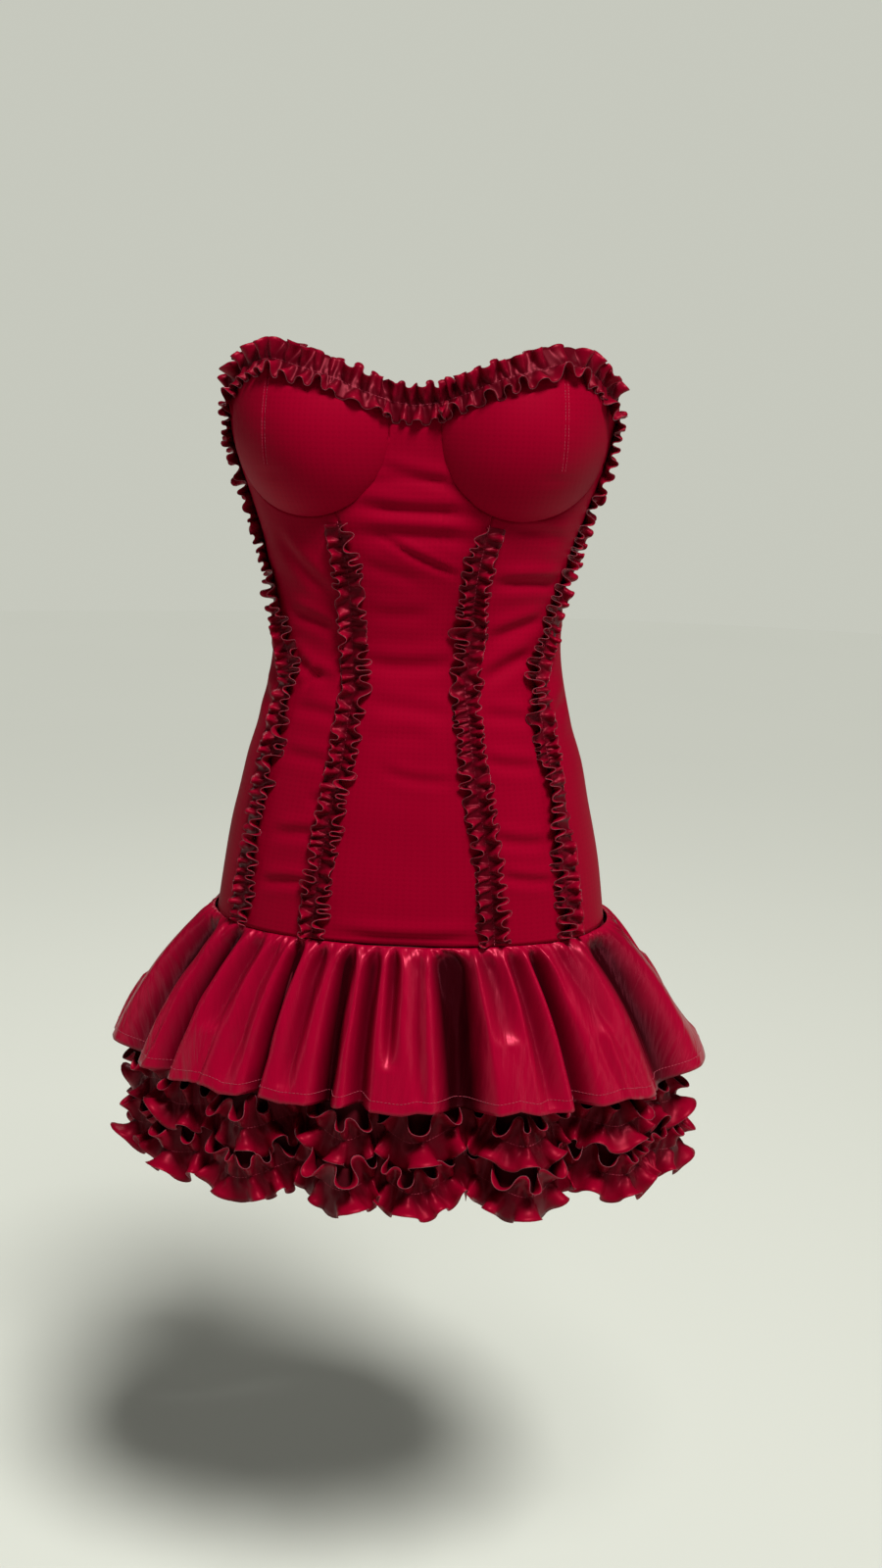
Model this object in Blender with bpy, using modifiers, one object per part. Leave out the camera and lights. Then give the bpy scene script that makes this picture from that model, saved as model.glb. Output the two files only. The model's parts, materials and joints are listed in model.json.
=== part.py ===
"""Strapless mini dress: panelled bodice with two round cups, gathered ruffle strips,
a satin peplum at the hips and an underskirt that carries two ruffle tiers.

The dress keeps the hollow shape it has when it is worn. Tables and constants are in
millimetres, the meshes in metres. +Z is up, the front faces -Y, the wearer's right side
is at -X, and the origin is on the body's axis at the waist. An angle goes round the body
from the centre front, 0, through the +X side, 90, to the centre back, 180.
"""

import math

import bmesh
import bpy
from mathutils import Matrix, Vector

MM = 0.001
COLLECTION = "mini_dress"
SEAM_GAP = 0.3

BODICE_WALL = 1.5
CUP_WALL = 1.5
PEPLUM_WALL = 1.2
SKIRT_WALL = 1.2
RUFFLE_WALL = 1.0

# Worn body: height, half width, front depth, back depth
BODY_RINGS = (
    (275, 178, 76, 76),
    (240, 176, 88, 86),
    (180, 168, 100, 97),
    (116, 148, 100, 97),
    (84, 138, 98, 96),
    (30, 130, 88, 92),
    (0, 130, 85, 91),
    (-75, 143, 100, 112),
    (-111, 154, 105, 122),
    (-146, 162, 110, 128),
    (-173, 168, 112, 133),
    (-217, 176, 115, 138),
    (-262, 182, 117, 141),
)
BODY_SQUARENESS = 2.35

# Top edge of the bodice: angle, height
NECKLINE = (
    (0, 206),
    (4.5, 209),
    (10.3, 217),
    (17.4, 227),
    (26.9, 235),
    (37.3, 241),
    (48.3, 237),
    (59.2, 226),
    (67.7, 216),
    (75, 210),
    (90, 202),
    (115, 194),
    (180, 186),
)

# Seams down the front: height, inner seam angle, outer strip angle
FRONT_SEAMS = (
    (212, 22.5, 78),
    (193, 22.5, 80),
    (170, 22.5, 82),
    (150, 22.5, 84),
    (126, 22.5, 85),
    (104, 22.3, 85),
    (83, 21.5, 82),
    (62, 20.6, 76.5),
    (42, 20.2, 71),
    (20, 19.8, 64.5),
    (0, 19.2, 58.5),
    (-20, 18, 53.5),
    (-34, 17.2, 51.6),
    (-56, 18.2, 52),
    (-105, 18.9, 52),
    (-150, 20.6, 51.5),
    (-200, 22.2, 51.6),
    (-262, 22.8, 53),
)
SIDE_BACK_SEAM = 116

# Round cup, seen from the front
CUP_CENTRE_X = 92
CUP_CENTRE_Z = 180
CUP_RADIUS = 70
CUP_RISE = 92
CUP_DEPTH = 35
CUP_ROUNDNESS = 0.8
CUP_TURN_OUT = 0.28
# The cup's edge from straight in, 0, through the bottom, 90: where each panel meets it
CUP_INNER_SEAM_TURN = 67.5
CUP_OUTER_SEAM_TURN = 168
CENTER_EDGE_STEPS = 4
SIDE_EDGE_STEPS = 6
CUP_ROWS = 8
# The centre front's part between the cups
GORE_STEPS = 4
GORE_ROWS = 2
# How far below the cup's centre the outer seam reaches the outer strip
OUTER_SEAM_RUN = 60

HIP_SEAM_Z = -256
PANEL_ROWS = 15
SIDE_PANEL_COLUMNS = 5
BACK_PANEL_COLUMNS = 6
# A height near the top edge, and how often it is brought closer to the edge
TOP_GUESS_Z = 200
TOP_PASSES = 12
NORMAL_STEP = 0.2

# Peplum: share of the drop, height, half width, front depth, back depth
PEPLUM_RINGS = (
    (0.00, -256.3, 183.5, 119.5, 143.5),
    (0.10, -264, 194, 128, 153),
    (0.30, -287, 214, 139, 170),
    (0.55, -321, 237, 152, 187),
    (0.80, -360, 257, 162, 199),
    (1.00, -389, 269, 168, 206),
)
# Peplum folds over the front: angle, ridge height, depth of the valley after it
PEPLUM_FOLDS = (
    (-78, 15, 9),
    (-58, 11, 7),
    (-46, 8, 6),
    (-37, 7, 6),
    (-30.5, 6, 5),
    (-24, 7, 8),
    (-16.5, 9, 8),
    (-9, 8, 5),
    (-3.8, 5, 4),
    (1, 5, 4),
    (6, 8, 26),
    (18, 12, 6),
    (26, 7, 6),
    (32.5, 7, 6),
    (40, 9, 7),
    (52, 12, 8),
    (77, 15, 12),
)
SIDE_SEAM = 97
# Folds over the back: count, ridge height, valley depth, sideways wander in degrees
PEPLUM_BACK_FOLDS = (17, 9, 8, 1.6)
PEPLUM_SEAM_SHARE = 0.12
PEPLUM_ROWS = 4

# Underskirt: share of the drop, height, half width, front depth, back depth
SKIRT_RINGS = (
    (0.00, -256.3, 178.6, 114.6, 138.6),
    (0.20, -298, 200, 127, 158),
    (0.50, -362, 232, 140, 182),
    (0.75, -418, 247, 147, 192),
    (1.00, -474, 255, 151, 198),
)
# Underskirt flutes over the front: angle, ridge height, depth of the valley after it
SKIRT_FLUTES = (
    (-78, 9, 4),
    (-53, 9, 3),
    (-31, 13, 15),
    (-9, 10, 7),
    (3, 9, 14),
    (25, 14, 15),
    (51, 8, 4),
    (78, 9, 9),
)
SKIRT_BACK_FLUTES = (6, 11, 10, 2.5)
SKIRT_ROWS = 4
SKIRT_SQUARENESS = 2.1
# Folds stand out as this power of the share of the drop
FOLD_GROWTH = 0.8
# From one fold over the back to the next: turns of the waves that make them uneven
WANDER_TURN = 2.4
WANDER_START = 0.7
RIDGE_TURN = 1.7
RIDGE_CHANGE = 0.35
# The search for a drop from a height
LOWEST_DROP = 1.3
DROP_PASSES = 30

UPPER_TIER_Z = -420
LOWER_TIER_Z = -466
TIER_HALF_WIDTH = 21
TIER_LIFT = 13
TIER_WAVES_A_FLUTE = 2
TIER_END_INSET = 0.12
TIER_EDGE_LIFT = 2.5

STRIP_HALF_WIDTH = 12.5
STRIP_LIFT = 8
INNER_STRIP_TOP = 106
INNER_STRIP_WAVES = 15
OUTER_STRIP_TOP = 203
OUTER_STRIP_WAVES = 21
NECKLINE_HALF_WIDTH = 14
NECKLINE_LIFT = 9
NECKLINE_WAVES = 24
NECKLINE_RUFFLE_END = 74
NECKLINE_RUFFLE_DROP = 3
STRIP_END_RISE = 2
NECKLINE_CLEARANCE = 1.5
RUFFLE_CLEARANCE = 0.8
COLUMNS_A_WAVE = 4
EDGE_LIFT = 1.2
# A ruffle's reach to each side: mean share of its half width, change, turn a column
REACH_MEAN = 0.86
REACH_CHANGE = 0.14
REACH_TURN = 1.3

ZIP_HALF_WIDTH = 2.7
ZIP_THICK = 1.7
ZIP_TOP_DROP = 3
ZIP_ROWS = 12
SLIDER_WIDTH = 6.4
SLIDER_HEIGHT = 10
SLIDER_THICK = 2.2
SLIDER_DROP = 10
SLIDER_CLEARANCE = 0.6
CHEEK_THICK = 1.2
CHEEK_GAP = 3.2
CHEEK_RADIUS = 1.7
PIN_RADIUS = 0.7
PIN_STAND_OFF = 2.2
EYE_RADIUS = 1.7
EYE_HOLE_RADIUS = 1.0
EYE_WIDTH = 2.4
TAB_WIDTH = 5.4
TAB_LENGTH = 21
TAB_THICK = 1.0
TAB_NECK = 3.6
# How far joined blocks of the zip's hard pieces overlap
JOIN_OVERLAP = 0.4
ROD_SIDES = 16

# Colours of the cloth and the zip, in linear light: name, red, green, blue, roughness, metal
FINISHES = {
    "stretch_cloth": (0.270, 0.001, 0.018, 0.55, 0.0),
    "cup_cloth": (0.290, 0.001, 0.020, 0.55, 0.0),
    "ruffle_cloth": (0.170, 0.002, 0.010, 0.60, 0.0),
    "satin": (0.260, 0.001, 0.018, 0.28, 0.0),
    "underskirt_cloth": (0.130, 0.001, 0.008, 0.65, 0.0),
    "zip_tape": (0.150, 0.001, 0.010, 0.60, 0.0),
    "zip_metal": (0.230, 0.004, 0.020, 0.35, 0.3),
}


class Curve:
    """A smooth line through a table's column, which never swings past its rows."""

    def __init__(self, rows, column):
        pairs = sorted((row[0], row[column]) for row in rows)
        self.at = [pair[0] for pair in pairs]
        self.value = [pair[1] for pair in pairs]
        steps = []
        for k in range(len(pairs) - 1):
            steps.append((self.value[k + 1] - self.value[k]) / (self.at[k + 1] - self.at[k]))
        self.slope = [steps[0]]
        for before, after in zip(steps, steps[1:]):
            same_way = before * after > 0
            self.slope.append(2 * before * after / (before + after) if same_way else 0.0)
        self.slope.append(steps[-1])

    def __call__(self, x):
        x = min(max(x, self.at[0]), self.at[-1])
        k = 0
        while k < len(self.at) - 2 and x > self.at[k + 1]:
            k += 1
        span = self.at[k + 1] - self.at[k]
        t = (x - self.at[k]) / span
        rise = self.value[k + 1] - self.value[k]
        bend = t * t * (3 - 2 * t)
        start = self.slope[k] * span * t * (1 - t) * (1 - t)
        end = self.slope[k + 1] * span * t * t * (t - 1)
        return self.value[k] + rise * bend + start + end


BODY_WIDTH = Curve(BODY_RINGS, 1)
BODY_FRONT = Curve(BODY_RINGS, 2)
BODY_BACK = Curve(BODY_RINGS, 3)
TOP_EDGE = Curve(NECKLINE, 1)
INNER_SEAM = Curve(FRONT_SEAMS, 1)
OUTER_STRIP = Curve(FRONT_SEAMS, 2)


def lerp(a, b, t):
    return a + (b - a) * t


def column_share(k, count):
    """Where a panel's column lies across it: closer together beside the seams."""
    even = k / count
    return (even + 0.5 - 0.5 * math.cos(math.pi * even)) / 2


def ring_point(angle, z, half_width, front, back, squareness):
    """A point on a squared oval ring round the body."""
    turn = math.radians(angle)
    side = math.sin(turn)
    ahead = math.cos(turn)
    power = 2 / squareness
    depth = front if ahead > 0 else back
    x = half_width * math.copysign(abs(side) ** power, side)
    y = -depth * math.copysign(abs(ahead) ** power, ahead)
    return Vector((x, y, z))


def angle_at(x, z):
    """The angle at which the front of the body has this sideways place."""
    share = min(abs(x) / BODY_WIDTH(z), 1.0)
    turn = math.degrees(math.asin(share ** (BODY_SQUARENESS / 2)))
    return math.copysign(turn, x)


def cup_swell(x, z):
    """How far the cup stands off the body here."""
    across = (abs(x) - CUP_CENTRE_X) / CUP_RADIUS
    rise = z - CUP_CENTRE_Z
    up = rise / (CUP_RISE if rise > 0 else CUP_RADIUS)
    left = 1 - across * across - up * up
    return CUP_DEPTH * left**CUP_ROUNDNESS if left > 0 else 0.0


def torso(angle, z):
    """A point on the outside of the bodice, with no cups."""
    return ring_point(angle, z, BODY_WIDTH(z), BODY_FRONT(z), BODY_BACK(z), BODY_SQUARENESS)


def outer_normal(surface, u, z):
    """The way out of a surface at a place on it, and its two directions."""
    step = NORMAL_STEP
    along = (surface(u + step, z) - surface(u - step, z)) / (2 * step)
    up = (surface(u, z + step) - surface(u, z - step)) / (2 * step)
    return along.cross(up).normalized(), along, up


def panel_back(angle, z):
    """A point on the inside of a bodice panel."""
    out, _, _ = outer_normal(torso, angle, z)
    return torso(angle, z) - out * BODICE_WALL


def bodice(angle, z):
    """A point on the outside of the bodice, cups and all."""
    point = torso(angle, z)
    if point.y < 0:
        swell = cup_swell(point.x, z)
        point.x += swell * math.copysign(CUP_TURN_OUT, point.x)
        point.y -= swell
    return point


def grid_object(name, rows, wall, finish, outward=False):
    """A sheet through rows of points, top row first, each from left to right."""
    mesh = bpy.data.meshes.new(name)
    sheet = bmesh.new()
    corners = []
    for row in rows:
        corners.append([None if p is None else sheet.verts.new(p * MM) for p in row])
    for above, below in zip(corners, corners[1:]):
        for k in range(len(above) - 1):
            face = (above[k], below[k], below[k + 1], above[k + 1])
            if all(face):
                sheet.faces.new(face)
    sheet.to_mesh(mesh)
    sheet.free()
    obj = add_object(name, mesh, finish)
    thicken = obj.modifiers.new("cloth wall", "SOLIDIFY")
    thicken.thickness = wall * MM
    thicken.offset = 1.0 if outward else -1.0
    return obj


def add_object(name, mesh, finish):
    """Put a mesh in the dress's collection with a material of its own."""
    red, green, blue, roughness, metal = FINISHES[finish]
    material = bpy.data.materials.new(name + "_" + finish)
    material.use_nodes = True
    shader = material.node_tree.nodes["Principled BSDF"]
    shader.inputs["Base Color"].default_value = (red, green, blue, 1.0)
    shader.inputs["Roughness"].default_value = roughness
    shader.inputs["Metallic"].default_value = metal
    mesh.materials.append(material)
    mesh.shade_smooth()
    obj = bpy.data.objects.new(name, mesh)
    bpy.data.collections[COLLECTION].objects.link(obj)
    return obj


def panel(name, left, right, columns, top=None):
    """A bodice panel between two seams: left and right give an angle for a height."""
    top = top or TOP_EDGE
    rows = []
    starts = []
    for c in range(columns + 1):
        share = column_share(c, columns)
        z = TOP_GUESS_Z
        for _ in range(TOP_PASSES):
            z = top(lerp(left(z), right(z), share))
        starts.append(z)
    for r in range(PANEL_ROWS + 1):
        row = []
        for c in range(columns + 1):
            z = lerp(starts[c], HIP_SEAM_Z, r / PANEL_ROWS)
            row.append(panel_back(lerp(left(z), right(z), column_share(c, columns)), z))
        rows.append(row)
    return grid_object(name, rows, BODICE_WALL, "stretch_cloth", outward=True)


def gap_angle(z):
    """Half the seam gap, as an angle round the body."""
    return math.degrees(SEAM_GAP / 2 / BODY_WIDTH(z))


def cup_edge(turn, spare=0.0):
    """A place on the cup's seam, from straight in, 0, through the bottom, 90, to 180."""
    reach = CUP_RADIUS + spare
    x = CUP_CENTRE_X - reach * math.cos(math.radians(turn))
    z = CUP_CENTRE_Z - reach * math.sin(math.radians(turn))
    return x, z


def edge_turns(first, last, steps):
    return [lerp(first, last, k / steps) for k in range(steps + 1)]


def center_panel():
    """The centre front: up to the dip of the neckline between the cups."""
    edge_steps = CENTER_EDGE_STEPS
    turns = edge_turns(CUP_INNER_SEAM_TURN, 0, edge_steps)
    edge = [cup_edge(turn, SEAM_GAP) for turn in turns]
    gore_half = edge[-1][0]
    heads = [(-x, z) for x, z in edge]
    for k in range(1, GORE_STEPS):
        heads.append((lerp(-gore_half, gore_half, k / GORE_STEPS), CUP_CENTRE_Z))
    heads += reversed(edge)
    count = len(heads) - 1
    rows = []
    for r in range(GORE_ROWS):
        row = []
        for c, (x, z) in enumerate(heads):
            inside = edge_steps <= c <= edge_steps + GORE_STEPS
            angle = angle_at(x, z)
            height = lerp(TOP_EDGE(abs(angle)), z, r / GORE_ROWS)
            row.append(panel_back(angle_at(x, height), height) if inside else None)
        rows.append(row)
    for r in range(PANEL_ROWS + 1):
        t = r / PANEL_ROWS
        row = []
        for c, (x, z) in enumerate(heads):
            height = lerp(z, HIP_SEAM_Z, t)
            edge_angle = INNER_SEAM(height) - gap_angle(height)
            head_share = angle_at(x, z) / (INNER_SEAM(z) - gap_angle(z))
            share = lerp(head_share, 2 * column_share(c, count) - 1, math.sin(math.pi / 2 * t))
            row.append(panel_back(edge_angle * min(max(share, -1), 1), height))
        rows.append(row)
    return grid_object("front_center", rows, BODICE_WALL, "stretch_cloth", outward=True)


def outer_seam(z):
    """The outer seam's angle: it leaves the cup's edge and goes under the outer strip."""
    cup_side = angle_at(CUP_CENTRE_X + CUP_RADIUS + SEAM_GAP, z)
    if z >= CUP_CENTRE_Z:
        return cup_side
    follow = min((CUP_CENTRE_Z - z) / OUTER_SEAM_RUN, 1.0)
    return lerp(cup_side, OUTER_STRIP(z), follow * follow * (3 - 2 * follow))


def front_side_panel(name, side):
    """Between the inner and outer seams, under the cup."""
    columns = SIDE_EDGE_STEPS
    turns = edge_turns(CUP_INNER_SEAM_TURN, CUP_OUTER_SEAM_TURN, columns)
    heads = [cup_edge(turn, SEAM_GAP) for turn in turns]
    rows = []
    for r in range(PANEL_ROWS + 1):
        t = r / PANEL_ROWS
        row = []
        for c, (x, z) in enumerate(heads):
            height = lerp(z, HIP_SEAM_Z, t)
            inner = INNER_SEAM(height) + gap_angle(height)
            outer = outer_seam(height) - gap_angle(height)
            head_inner = INNER_SEAM(z) + gap_angle(z)
            head_outer = outer_seam(z) - gap_angle(z)
            head_share = (angle_at(x, z) - head_inner) / (head_outer - head_inner)
            head_share = min(max(head_share, 0), 1)
            share = lerp(head_share, column_share(c, columns), math.sin(math.pi / 2 * t))
            row.append(panel_back(side * lerp(inner, outer, share), height))
        rows.append(row if side > 0 else row[::-1])
    return grid_object(name, rows, BODICE_WALL, "stretch_cloth", outward=True)


def cup(name, side):
    """A moulded cup: round below, with straight sides up to the neckline."""
    turns = edge_turns(0, CUP_INNER_SEAM_TURN, CENTER_EDGE_STEPS)
    turns += edge_turns(CUP_INNER_SEAM_TURN, CUP_OUTER_SEAM_TURN, SIDE_EDGE_STEPS)[1:]
    turns.append(180)
    rows = []
    for r in range(CUP_ROWS + 1):
        row = []
        for turn in turns:
            x, bottom = cup_edge(turn)
            top = CUP_CENTRE_Z
            for _ in range(TOP_PASSES):
                top = TOP_EDGE(angle_at(x, top))
            z = lerp(top, bottom, math.sin(math.pi / 2 * r / CUP_ROWS))
            row.append(bodice(side * angle_at(x, z), z))
        rows.append(row if side > 0 else row[::-1])
    return grid_object(name, rows, CUP_WALL, "cup_cloth")


def beside(surface, u, z, way, reach):
    """The place on a surface that lies this far off to one side."""
    _, along, up = outer_normal(surface, u, z)
    aa = along.dot(along)
    au = along.dot(up)
    uu = up.dot(up)
    a = along.dot(way) * reach
    b = up.dot(way) * reach
    scale = aa * uu - au * au
    return u + (a * uu - b * au) / scale, z + (b * aa - a * au) / scale


def reach_share(k, shift):
    """How far a ruffle's edge reaches at a column, as a share of its half width."""
    return REACH_MEAN + REACH_CHANGE * math.sin(REACH_TURN * k + shift)


def ruffle(name, surface, path, half_width, lift, clearance):
    """A strip sewn down along its middle, both edges free and waved.

    path holds a place on the surface for each column, four columns to a wave.
    """
    places = [surface(u, z) for u, z in path]
    left_row = []
    middle_row = []
    right_row = []
    for k, (u, z) in enumerate(path):
        out, _, _ = outer_normal(surface, u, z)
        ahead = (places[min(k + 1, len(path) - 1)] - places[max(k - 1, 0)]).normalized()
        way = out.cross(ahead).normalized()
        middle_row.append(places[k] + out * clearance)
        phase = 2 * math.pi * k / COLUMNS_A_WAVE
        for row, hand, shift in ((left_row, 1, 0.0), (right_row, -1, math.pi / 2)):
            wave = 0.5 - 0.5 * math.cos(phase + shift)
            reach = half_width * reach_share(k, shift)
            edge_u, edge_z = beside(surface, u, z, way, hand * reach)
            edge_out, _, _ = outer_normal(surface, edge_u, edge_z)
            height = clearance + EDGE_LIFT + lift * wave
            row.append(surface(edge_u, edge_z) + edge_out * height)
    rows = [left_row, middle_row, right_row]
    return grid_object(name, rows, RUFFLE_WALL, "ruffle_cloth", outward=True)


def strip(name, side, seam, top, waves):
    """A ruffle strip down a front seam, to just above the hip seam."""
    count = waves * COLUMNS_A_WAVE
    bottom = HIP_SEAM_Z + STRIP_END_RISE
    path = []
    for k in range(count + 1):
        z = lerp(top, bottom, k / count)
        path.append((side * seam(z), z))
    return ruffle(name, bodice, path, STRIP_HALF_WIDTH, STRIP_LIFT, RUFFLE_CLEARANCE)


def neckline_ruffle():
    """The ruffle along the top edge of the cups and the centre front."""
    count = NECKLINE_WAVES * COLUMNS_A_WAVE
    path = []
    for k in range(count + 1):
        angle = lerp(-NECKLINE_RUFFLE_END, NECKLINE_RUFFLE_END, k / count)
        path.append((angle, TOP_EDGE(abs(angle)) - NECKLINE_RUFFLE_DROP))
    return ruffle(
        "neckline_ruffle", bodice, path, NECKLINE_HALF_WIDTH, NECKLINE_LIFT, NECKLINE_CLEARANCE
    )


def fold_line(folds, start, end):
    """Columns round a folded skirt: angle and how far the fold stands out there.

    Each fold gives four columns, its valley on the left first and its ridge third.
    """
    columns = []
    for k, (angle, ridge, valley_after) in enumerate(folds):
        valley_before = folds[k - 1][2] if k else valley_after
        before = (folds[k - 1][0] + angle) / 2 if k else start
        after = (angle + folds[k + 1][0]) / 2 if k + 1 < len(folds) else end
        columns.append((before, -valley_before))
        columns.append(((before + angle) / 2, (ridge - valley_before) / 2))
        columns.append((angle, ridge))
        columns.append(((angle + after) / 2, (ridge - valley_after) / 2))
    columns.append((end, -folds[-1][2]))
    return columns


def back_folds(count, ridge, valley, wander):
    """Uneven folds over the back, between the two side seams."""
    span = 360 - 2 * SIDE_SEAM
    folds = []
    for k in range(count):
        aside = wander * math.sin(WANDER_TURN * k + WANDER_START)
        angle = SIDE_SEAM + span * (k + 0.5) / count + aside
        height = ridge * (1 + RIDGE_CHANGE * math.sin(RIDGE_TURN * k))
        folds.append((angle, height, valley))
    return folds


class Skirt:
    """A flared, folded skirt wall: its folds grow from the seam to the hem."""

    def __init__(self, rings, columns, seam_share):
        self.columns = columns
        self.seam_share = seam_share
        self.shape = [Curve(rings, column) for column in (1, 2, 3, 4)]

    def fold(self, place):
        """Angle and fold height at a place counted in columns."""
        k = min(int(place), len(self.columns) - 2)
        here = self.columns[k]
        after = self.columns[k + 1]
        t = place - k
        return lerp(here[0], after[0], t), lerp(here[1], after[1], t)

    def point(self, place, drop, out=0.0):
        """A point on the wall's outside, moved out along the radius."""
        z, half_width, front, back = [curve(drop) for curve in self.shape]
        angle, fold = self.fold(place)
        grow = self.seam_share + (1 - self.seam_share) * drop**FOLD_GROWTH
        more = fold * grow + out
        return ring_point(
            angle, z, half_width + more, front + more, back + more, SKIRT_SQUARENESS
        )

    def drop_at(self, z):
        """The share of the drop at which the wall has this height."""
        low, high = 0.0, LOWEST_DROP
        for _ in range(DROP_PASSES):
            middle = (low + high) / 2
            if self.height(middle) > z:
                low = middle
            else:
                high = middle
        return (low + high) / 2

    def height(self, drop):
        return self.shape[0](drop)

    def wall(self, name, wall, row_count, finish):
        rows = []
        for r in range(row_count + 1):
            drop = r / row_count
            rows.append([self.point(k, drop) for k in range(len(self.columns))])
        return grid_object(name, rows, wall, finish)


def trimmed(columns, gap):
    """The same columns, with the first and last drawn in by half the seam gap."""
    (first, first_fold), (last, last_fold) = columns[0], columns[-1]
    return [(first + gap, first_fold)] + columns[1:-1] + [(last - gap, last_fold)]


def tier(name, skirt, centre_z):
    """A wide ruffle sewn round the underskirt along its middle."""
    steps = TIER_WAVES_A_FLUTE * COLUMNS_A_WAVE // 4
    count = (len(skirt.columns) - 1) * steps
    rows = [[], [], []]
    drop = skirt.drop_at(centre_z)
    last = len(skirt.columns) - 1
    for k in range(count + 1):
        place = min(max(k / steps, TIER_END_INSET), last - TIER_END_INSET)
        phase = 2 * math.pi * k / COLUMNS_A_WAVE
        rows[1].append(skirt.point(place, drop, RUFFLE_CLEARANCE))
        for row, hand, shift in ((rows[0], 1, 0.0), (rows[2], -1, math.pi / 2)):
            wave = 0.5 - 0.5 * math.cos(phase + shift)
            reach = TIER_HALF_WIDTH * reach_share(k, shift)
            z = centre_z + hand * reach
            out = TIER_EDGE_LIFT + TIER_LIFT * wave
            point = skirt.point(place, min(skirt.drop_at(z), 1.0), out)
            point.z = z
            row.append(point)
    return grid_object(name, rows, RUFFLE_WALL, "ruffle_cloth", outward=True)


def zip_chain():
    """The closed zip down the centre back, between the two back panels."""
    top = TOP_EDGE(180) - ZIP_TOP_DROP
    rows = []
    for r in range(ZIP_ROWS + 1):
        z = lerp(top, HIP_SEAM_Z, r / ZIP_ROWS)
        y = BODY_BACK(z) - BODICE_WALL
        rows.append([Vector((x, y, z)) for x in (ZIP_HALF_WIDTH, 0, -ZIP_HALF_WIDTH)])
    return grid_object("zip_chain", rows, ZIP_THICK, "zip_tape", outward=True)


def box_mesh(name, size, centre):
    """A box as a mesh object, used to make the zip's hard pieces."""
    mesh = bpy.data.meshes.new(name)
    solid = bmesh.new()
    bmesh.ops.create_cube(solid, size=1.0)
    bmesh.ops.scale(solid, verts=solid.verts, vec=Vector(size) * MM)
    bmesh.ops.translate(solid, verts=solid.verts, vec=Vector(centre) * MM)
    solid.to_mesh(mesh)
    solid.free()
    return mesh


def rod_mesh(name, radius, length, centre):
    """A rod along X."""
    mesh = bpy.data.meshes.new(name)
    solid = bmesh.new()
    bmesh.ops.create_cone(
        solid,
        cap_ends=True,
        segments=ROD_SIDES,
        radius1=radius * MM,
        radius2=radius * MM,
        depth=length * MM,
    )
    turn = Matrix.Rotation(math.radians(90), 4, "Y")
    bmesh.ops.transform(solid, matrix=turn, verts=solid.verts)
    bmesh.ops.translate(solid, verts=solid.verts, vec=Vector(centre) * MM)
    solid.to_mesh(mesh)
    solid.free()
    return mesh


def combine(obj, mesh, operation):
    """Join a mesh to an object or cut it out, with an exact Boolean."""
    tool = bpy.data.objects.new(mesh.name, mesh)
    tool.parent = obj
    tool.hide_render = True
    tool.display_type = "WIRE"
    bpy.data.collections["cutters"].objects.link(tool)
    join = obj.modifiers.new(mesh.name, "BOOLEAN")
    join.operation = operation
    join.object = tool
    join.solver = "EXACT"


def zip_hardware():
    """The slider near the top of the zip, and the pull tab that hangs on its pin."""
    slider_z = TOP_EDGE(180) - SLIDER_DROP
    inner_y = BODY_BACK(slider_z) - BODICE_WALL + ZIP_THICK + SLIDER_CLEARANCE
    outer_y = inner_y + SLIDER_THICK
    pin_y = outer_y + PIN_STAND_OFF
    pin_z = slider_z + SLIDER_HEIGHT / 4

    body = box_mesh(
        "zip_slider",
        (SLIDER_WIDTH, SLIDER_THICK, SLIDER_HEIGHT),
        (0, (inner_y + outer_y) / 2, slider_z),
    )
    slider = add_object("zip_slider", body, "zip_metal")
    cheek_depth = PIN_STAND_OFF + CHEEK_RADIUS + JOIN_OVERLAP
    for hand in (-1, 1):
        x = hand * (CHEEK_GAP + CHEEK_THICK) / 2
        size = (CHEEK_THICK, cheek_depth, 2 * CHEEK_RADIUS)
        cheek = box_mesh("cheek", size, (x, outer_y - JOIN_OVERLAP + cheek_depth / 2, pin_z))
        combine(slider, cheek, "UNION")
    pin = rod_mesh("pin", PIN_RADIUS, CHEEK_GAP + CHEEK_THICK, (0, pin_y, pin_z))
    combine(slider, pin, "UNION")

    eye = rod_mesh("zip_pull", EYE_RADIUS, EYE_WIDTH, (0, 0, 0))
    pull = add_object("zip_pull", eye, "zip_metal")
    neck_size = (EYE_WIDTH, TAB_THICK, TAB_NECK)
    combine(pull, box_mesh("neck", neck_size, (0, 0, -EYE_HOLE_RADIUS - TAB_NECK / 2)), "UNION")
    tab_height = TAB_LENGTH - TAB_NECK
    tab_centre = -EYE_HOLE_RADIUS - TAB_NECK - tab_height / 2 + JOIN_OVERLAP
    combine(pull, box_mesh("tab", (TAB_WIDTH, TAB_THICK, tab_height), (0, 0, tab_centre)), "UNION")
    combine(pull, rod_mesh("eye_hole", EYE_HOLE_RADIUS, EYE_WIDTH * 2, (0, 0, 0)), "DIFFERENCE")
    pull.location = Vector((0, pin_y, pin_z)) * MM


def back_panel(name, side):
    """From the side back seam to the zip."""

    def seam(z):
        return SIDE_BACK_SEAM + gap_angle(z)

    def zip_edge(z):
        reach = (ZIP_HALF_WIDTH + SEAM_GAP) / BODY_WIDTH(z)
        return 180 - math.degrees(math.asin(reach ** (BODY_SQUARENESS / 2)))

    if side > 0:
        return panel(name, seam, zip_edge, BACK_PANEL_COLUMNS)
    return panel(
        name,
        lambda z: -zip_edge(z),
        lambda z: -seam(z),
        BACK_PANEL_COLUMNS,
        lambda angle: TOP_EDGE(-angle),
    )


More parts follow.
